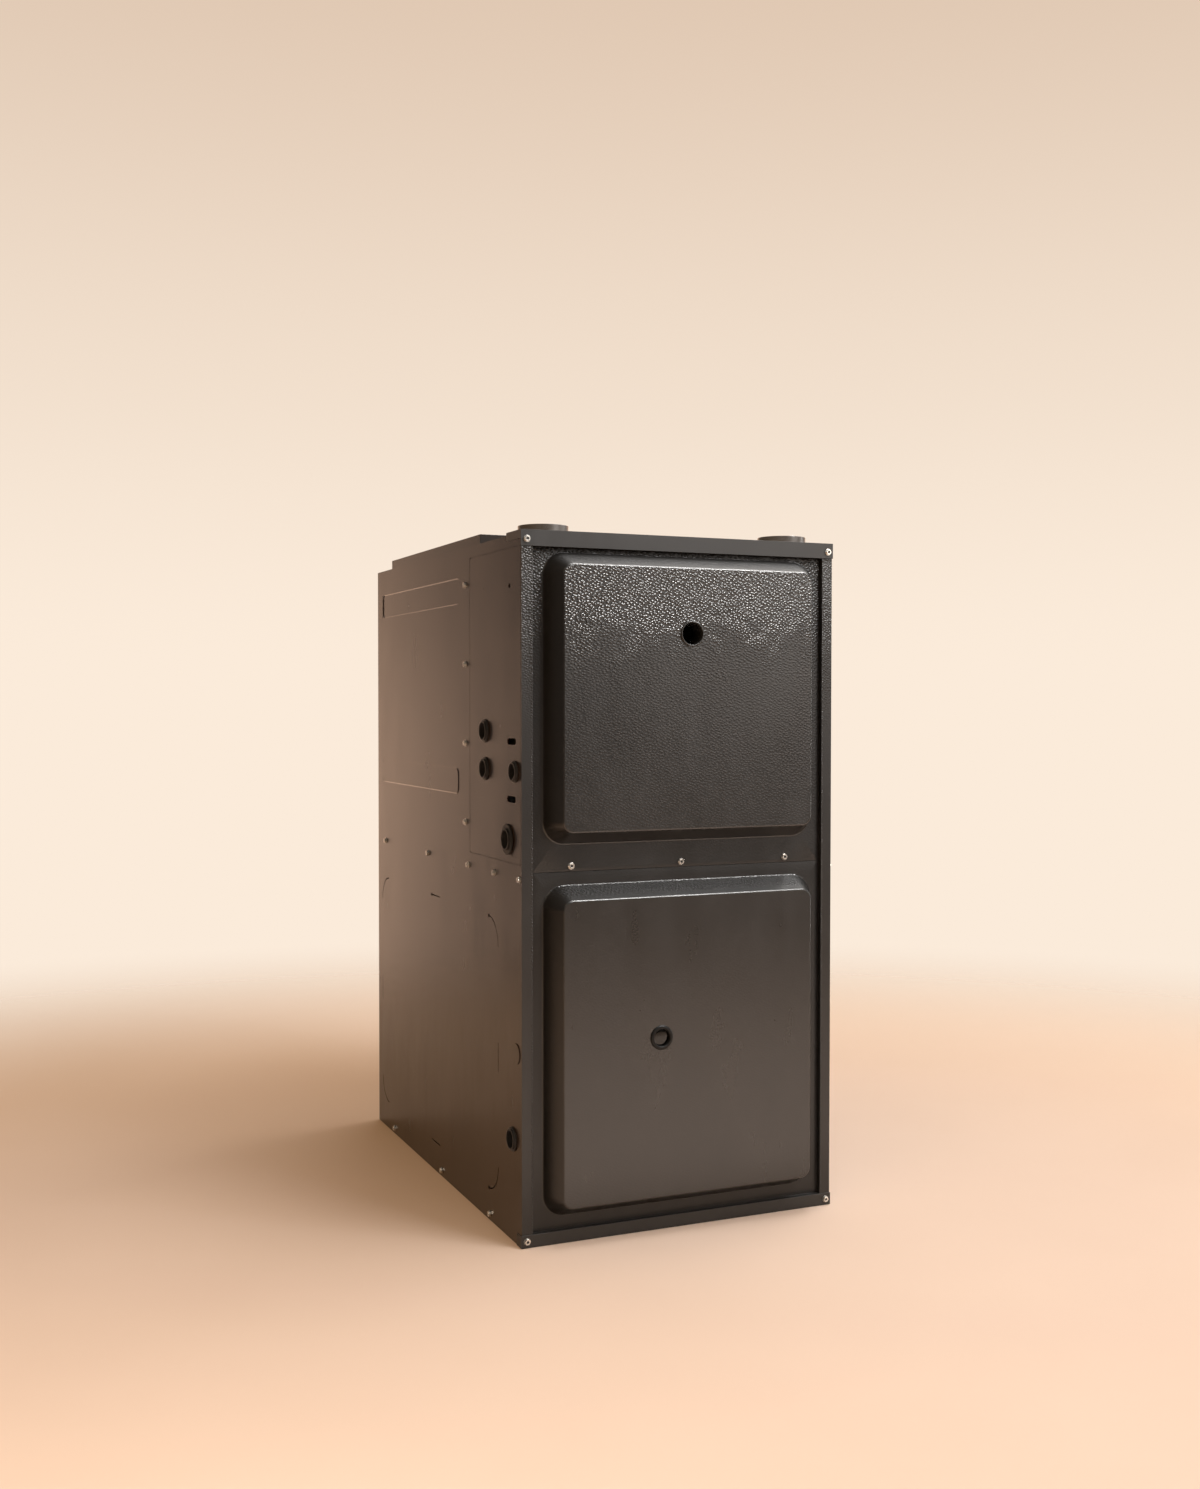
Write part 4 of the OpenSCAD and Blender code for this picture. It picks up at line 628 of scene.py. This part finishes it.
for node in ("left_side_panel", "right_side_panel"):
    bevelled(node, "_sheet", 0.35 * MM, mats=["cabinet_paint", "strip_paint"], choose=side_part,
             adjust=drawn_edges)
for node in ("left_service_plate", "right_service_plate"):
    bevelled(node, "_sheet", 0.2 * MM)
for node in ("header_rail", "bottom_rail"):
    bevelled(node, "_sheet", 0.4 * MM, 3)
for node in ("back_panel", "top_panel", "supply_flange", "base_pan", "vestibule_panel"):
    bevelled(node, "_sheet")
# the deck's front edge gets near-black painted shade, seen through the door seam
bevelled("blower_deck", "_sheet", mats=[slot_of["blower_deck"], "recess"], choose=deck_part)
for node in ("vent_collar", "intake_collar"):
    bevelled(node, "_moulding", 0.5 * MM, 3, mats=["collar_plastic"])
for node in ("wire_bushings", "gas_bushings", "drain_bushings"):
    bevelled(node, "_moulding", 0.45 * MM, 3)
bevelled("knockout_plugs", "_pressing")

# domed pop rivet heads with a dimple, down both rear flanges
RIVET_R, RIVET_H = 3 * MM, 1.3 * MM
RIVET_LOOPS = ((1.0, -0.3), (1.0, 0.12), (0.92, 0.5), (0.7, 0.85), (0.42, 1.0), (0.34, 0.98), (0.28, 0.45))
RIVET_HEIGHTS_MM = (40, 180, 320, 460, 600, 740, 860)
RIVET_INSET = 9 * MM
back_low, back_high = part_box("back_panel")
bm = bmesh.new()
for x in (back_low.x + RIVET_INSET, back_high.x - RIVET_INSET):
    for z in RIVET_HEIGHTS_MM:
        rings = [circle(bm, x, z * MM, RIVET_R * r, cad_high.y + RIVET_H * h, 20) for r, h in RIVET_LOOPS]
        skin(bm, rings)
        flat_fill(bm, rings[-1])
        flat_fill(bm, rings[0])
own(from_bmesh("rear_rivets", bm, M["cabinet_paint"], sharp=40), body=body_of["back_panel"],
    slot="cabinet_paint")


# ---------------------------------------------------------------- screws
RECESS_R = 1.75 * MM
RECESS_TOP, RECESS_FLOOR = 0.3 * MM, 2.5 * MM       # depths below the top of a head


def islands(bm):
    """The vertices of each loose piece."""
    seen = set()
    for start in bm.verts:
        if start in seen:
            continue
        island, todo = set(), [start]
        while todo:
            v = todo.pop()
            if v not in island:
                island.add(v)
                todo += [e.other_vert(v) for e in v.link_edges]
        seen |= island
        yield island


def screws(node, axis, sign=None):
    """Hex washer heads that point along the axis, or outwards without a sign. The walls and floor of each drive
    hole are painted near black, as painted shade.
    """
    bm = clean_copy(node)
    soften(bm, 0.22 * MM)
    for island in islands(bm):
        middle = sum((v.co for v in island), Vector()) / len(island)
        out = sign or math.copysign(1, middle[axis])
        top = max(v.co[axis] * out for v in island)
        for face in {f for v in island for f in v.link_faces}:
            place = face.calc_center_median()
            off = place - middle
            off[axis] = 0
            # painted shade: the inside of the drive hole goes near black
            if off.length < RECESS_R and RECESS_TOP < top - place[axis] * out < RECESS_FLOOR:
                face.material_index = 1
    obj = from_bmesh(node + "_heads", bm, M["zinc_screws"], M["recess"], sharp=62)
    even_normals(obj)
    own(obj, node)


X_AXIS, Y_AXIS, Z_AXIS = 0, 1, 2
screws("door_screws", Y_AXIS, -1)
screws("corner_screws", Y_AXIS, -1)
screws("collar_screws", Z_AXIS, 1)
screws("side_screws", X_AXIS)


# ---------------------------------------------------------------- inside
FINE = {"gas_orifices", "igniter", "flame_sensor", "rollout_switches", "left_reset_button",
        "right_reset_button", "inducer_fan", "control_board", "door_switch", "door_switch_plunger", "burners",
        "inducer_wheel", "gas_valve_knob", "pressure_switch"}
KEPT = {"blower_wheel", "secondary_exchanger", "heat_exchanger_tubes"}
BOARD_THICK, LAMP_HALF, TERMINALS_Z = 1.65 * MM, 4 * MM, -30 * MM
COIL_FRONT, COIL_REAR, COIL_HALF = 42.05 * MM, 7.9 * MM, 19 * MM       # forward of the transformer's rear
board_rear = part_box("control_board")[1].y
coil_low, coil_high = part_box("transformer")


def board_part(middle):
    """Board 0, relays and chip 1, terminal strip 2, capacitors 3, status lamp behind the window 4."""
    x, z = middle.x - WINDOW[0], middle.z - WINDOW[1]
    if middle.y > board_rear - BOARD_THICK:
        return 0
    if z < TERMINALS_Z:
        return 2
    if abs(x) < LAMP_HALF and abs(z) < LAMP_HALF:
        return 4
    return 3 if z < 0 else 1


def coil_part(middle):
    """Iron core 0, taped coil 1."""
    out = coil_high.y - middle.y
    off_middle = abs(middle.x - (coil_low.x + coil_high.x) / 2)
    return 1 if out > COIL_FRONT or (out < COIL_REAR and off_middle < COIL_HALF) else 0


PARTED = {
    "control_board": (["circuit_board", "black_plastic", "white_plastic", "aluminium_fins", "red_plastic"],
                      board_part),
    "transformer": (["transformer_iron", "coil_tape"], coil_part),
}
for node in sorted(nodes):
    if nodes[node].hide_render:
        continue
    if node in KEPT:
        nodes[node].data.materials.clear()
        nodes[node].data.materials.append(M[slot_of[node]])
    else:
        mats, choose = PARTED.get(node, (None, None))
        bevelled(node, "_piece", (0.25 if node in FINE else 0.6) * MM, mats=mats, choose=choose)


# ---------------------------------------------------------------- the room, as light and as mirrored
VIEW_FLAT = (0.397, 0.918, 0.0)             # where the camera looks, level
CEILING_AT = (0.45, 0.47, 0.76)
LIT_BEHIND, LIT_FRONT = (0.44, 0.28, 0.15), (0.42, 0.25, 0.11)
MIRROR_BEHIND, MIRROR_FRONT = (2.4, 1.56, 1.08), (0.1, 0.095, 0.09)
MIRROR_BEHIND_HIGH = (1.44, 0.936, 0.648)
MIRROR_CEILING = (3.0, 2.9, 2.8)
GLOW_HORIZON, GLOW_LOW, GLOW_HIGH = (0.965, 0.83, 0.70), (0.90, 0.76, 0.63), (0.72, 0.55, 0.42)

world = bpy.data.worlds.new("studio")
scene.world = world
world.use_nodes = True
world.node_tree.nodes.clear()
w = Graph(world.node_tree, "Generated")


def sky(color):
    return w.add("ShaderNodeBackground", {"Color": color}).outputs[0]


def choose_sky(factor, a, b):
    return w.add("ShaderNodeMixShader", {0: factor, 1: a, 2: b}).outputs[0]


def toward(direction, low, high):
    """0 away from the direction, 1 near it. low and high are cosines."""
    return w.remap(w.vector("DOT_PRODUCT", w.place, direction)["Value"], low, high, 0, 1, smooth=True)


rays = w.add("ShaderNodeLightPath").outputs
behind = toward(VIEW_FLAT, 0.75, 0.8)
ceiling = toward(CEILING_AT, 0.9, 0.97)
up = w.axes()["Z"]

# what the camera sees: a cream glow low down, fading to tan high up
glow = w.mix(w.remap(up, 0.02, 0.2, 0, 1, smooth=True), GLOW_HORIZON, GLOW_LOW)
glow = w.mix(w.remap(up, 0.12, 0.5, 0, 1, smooth=True), glow, GLOW_HIGH)

# what the surfaces see: dim light all round, and a mirrored room that is dark in front and bright behind
lit = sky(w.mix(behind, LIT_FRONT, LIT_BEHIND))
back_wall = w.mix(w.remap(up, -0.05, 0.12, 0, 1, smooth=True), MIRROR_BEHIND, MIRROR_BEHIND_HIGH)
mirrored = sky(w.mix(ceiling, w.mix(behind, MIRROR_FRONT, back_wall), MIRROR_CEILING))
unseen = choose_sky(w.math("MAXIMUM", rays["Is Glossy Ray"], rays["Is Transmission Ray"]), lit, mirrored)
w.add("ShaderNodeOutputWorld", {"Surface": choose_sky(rays["Is Camera Ray"], unseen, sky(glow))})


# ---------------------------------------------------------------- floor
FLOOR_HALF = 6.0
FLOOR_CELLS = 24
FLOOR_DROP = 0.4 * MM                       # keeps the floor clear of the base
FLOOR_MIDDLE = (-0.3, -0.8, 0)
FLOOR_NEAR, FLOOR_FAR = ((0.74, 0.615, 0.54), (0.76, 0.635, 0.56)), (0.93, 0.78, 0.67)
FLOOR_TONE_REACH, FLOOR_FADE = (1.0, 2.4), (1.5, 3.1)       # distances from the floor's middle


def floor_material():
    """Peach sweep that fades into the glow with distance, and keeps the object's shadow."""
    g = Material("floor_paper")
    distance = g.vector("DISTANCE", g.place, FLOOR_MIDDLE)["Value"]
    near = g.mix(g.remap(g.noise(0.5), 0.35, 0.65, 0, 1), *FLOOR_NEAR)
    tone = g.mix(g.remap(distance, *FLOOR_TONE_REACH, 0, 1, smooth=True), near, FLOOR_FAR)
    g.set(base_color=tone, roughness=0.85, specular_ior_level=0.15)
    clear = g.add("ShaderNodeBsdfTransparent").outputs[0]
    faded = g.remap(distance, *FLOOR_FADE, 0, 1, smooth=True)
    surface = g.add("ShaderNodeMixShader", {0: faded, 1: g.shader.outputs[0], 2: clear}).outputs[0]
    g.put(g.tree.nodes["Material Output"].inputs["Surface"], surface)
    return g.mat


bm = bmesh.new()
bmesh.ops.create_grid(bm, x_segments=FLOOR_CELLS, y_segments=FLOOR_CELLS, size=FLOOR_HALF)
mesh = bpy.data.meshes.new("floor")
bm.to_mesh(mesh)
bm.free()
floor = put_object("floor", mesh, floor_material())
floor.location.z = -FLOOR_DROP
floor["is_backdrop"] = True


# ---------------------------------------------------------------- lamps
def lamp(name, place, target, size, watts, color, shine_only=False, spread=180):
    """A softbox. One that is shine_only lights reflections, and no surface."""
    data = bpy.data.lights.new(name, "AREA")
    data.shape, data.size, data.size_y = "RECTANGLE", size[0], size[1]
    data.energy, data.color = watts, color
    data.spread = math.radians(spread)
    obj = bpy.data.objects.new(name, data)
    scene.collection.objects.link(obj)
    obj.location = place
    obj.visible_camera = False
    obj.visible_diffuse = not shine_only
    obj.rotation_euler = (Vector(target) - Vector(place)).to_track_quat("-Z", "Y").to_euler()


NEUTRAL = (1.0, 0.98, 0.96)
SOFTBOX = (1.7, -2.5, 1.6), (0, -0.3, 0.6), (1.5, 1.1)
lamp("key", (1.5, -1.3, 2.4), (0, 0, 0.45), (0.9, 0.9), 10.5, (0.97, 0.97, 0.95))
lamp("softbox", *SOFTBOX, 9, (1.0, 0.95, 0.9))
lamp("front", (1.6, -2.6, 1.0), (0, -0.3, 0.3), (1.0, 0.6), 3, (1.0, 0.8, 0.66))
lamp("glint", (1.0, -1.9, 2.45), (0.1, -0.33, 0.8), (1.1, 0.14), 24, NEUTRAL)
lamp("overhead", (0.2, -0.5, 2.4), (0.1, -0.4, 0.7), (1.2, 0.2), 14, NEUTRAL)
lamp("high_back", (0.8, 1.1, 2.4), (0, -0.3, 0.8), (1.6, 1.0), 6, (0.92, 0.96, 1.0))
lamp("right_back", (1.7, 0.5, 2.7), (-0.6, 0.0, 0.0), (1.3, 1.3), 17, (1.0, 0.88, 0.74))
lamp("left", (-1.9, -1.5, 2.2), (-0.5, -0.8, 0.0), (1.2, 1.2), 6.5, (1.0, 0.78, 0.56))
lamp("front_left", (-1.4, -2.1, 1.7), (-1.1, -1.4, 0.0), (0.8, 0.8), 7, (1.0, 0.82, 0.64), spread=70)
lamp("shine_front", (1.3, -1.9, 2.45), (0.1, -0.33, 0.6), (1.1, 0.3), 45, NEUTRAL, shine_only=True)
lamp("shine_softbox", *SOFTBOX, 42, (1.0, 0.97, 0.95), shine_only=True)
lamp("shine_low", (0.4, -0.95, 0.004), (0.4, -0.94, 1.0), (1.2, 1.2), 3.4, (1.0, 0.84, 0.74), shine_only=True)
lamp("shine_above", (0.8, -0.78, 2.3), (0.1, -0.4, 0.7), (1.6, 0.08), 36, NEUTRAL, shine_only=True)
lamp("shine_right", (2.3, -0.45, 0.7), (0, -0.4, 0.6), (0.12, 1.4), 10, (1.0, 0.95, 0.9), shine_only=True)

scene.view_settings.view_transform = "Standard"

low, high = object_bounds()
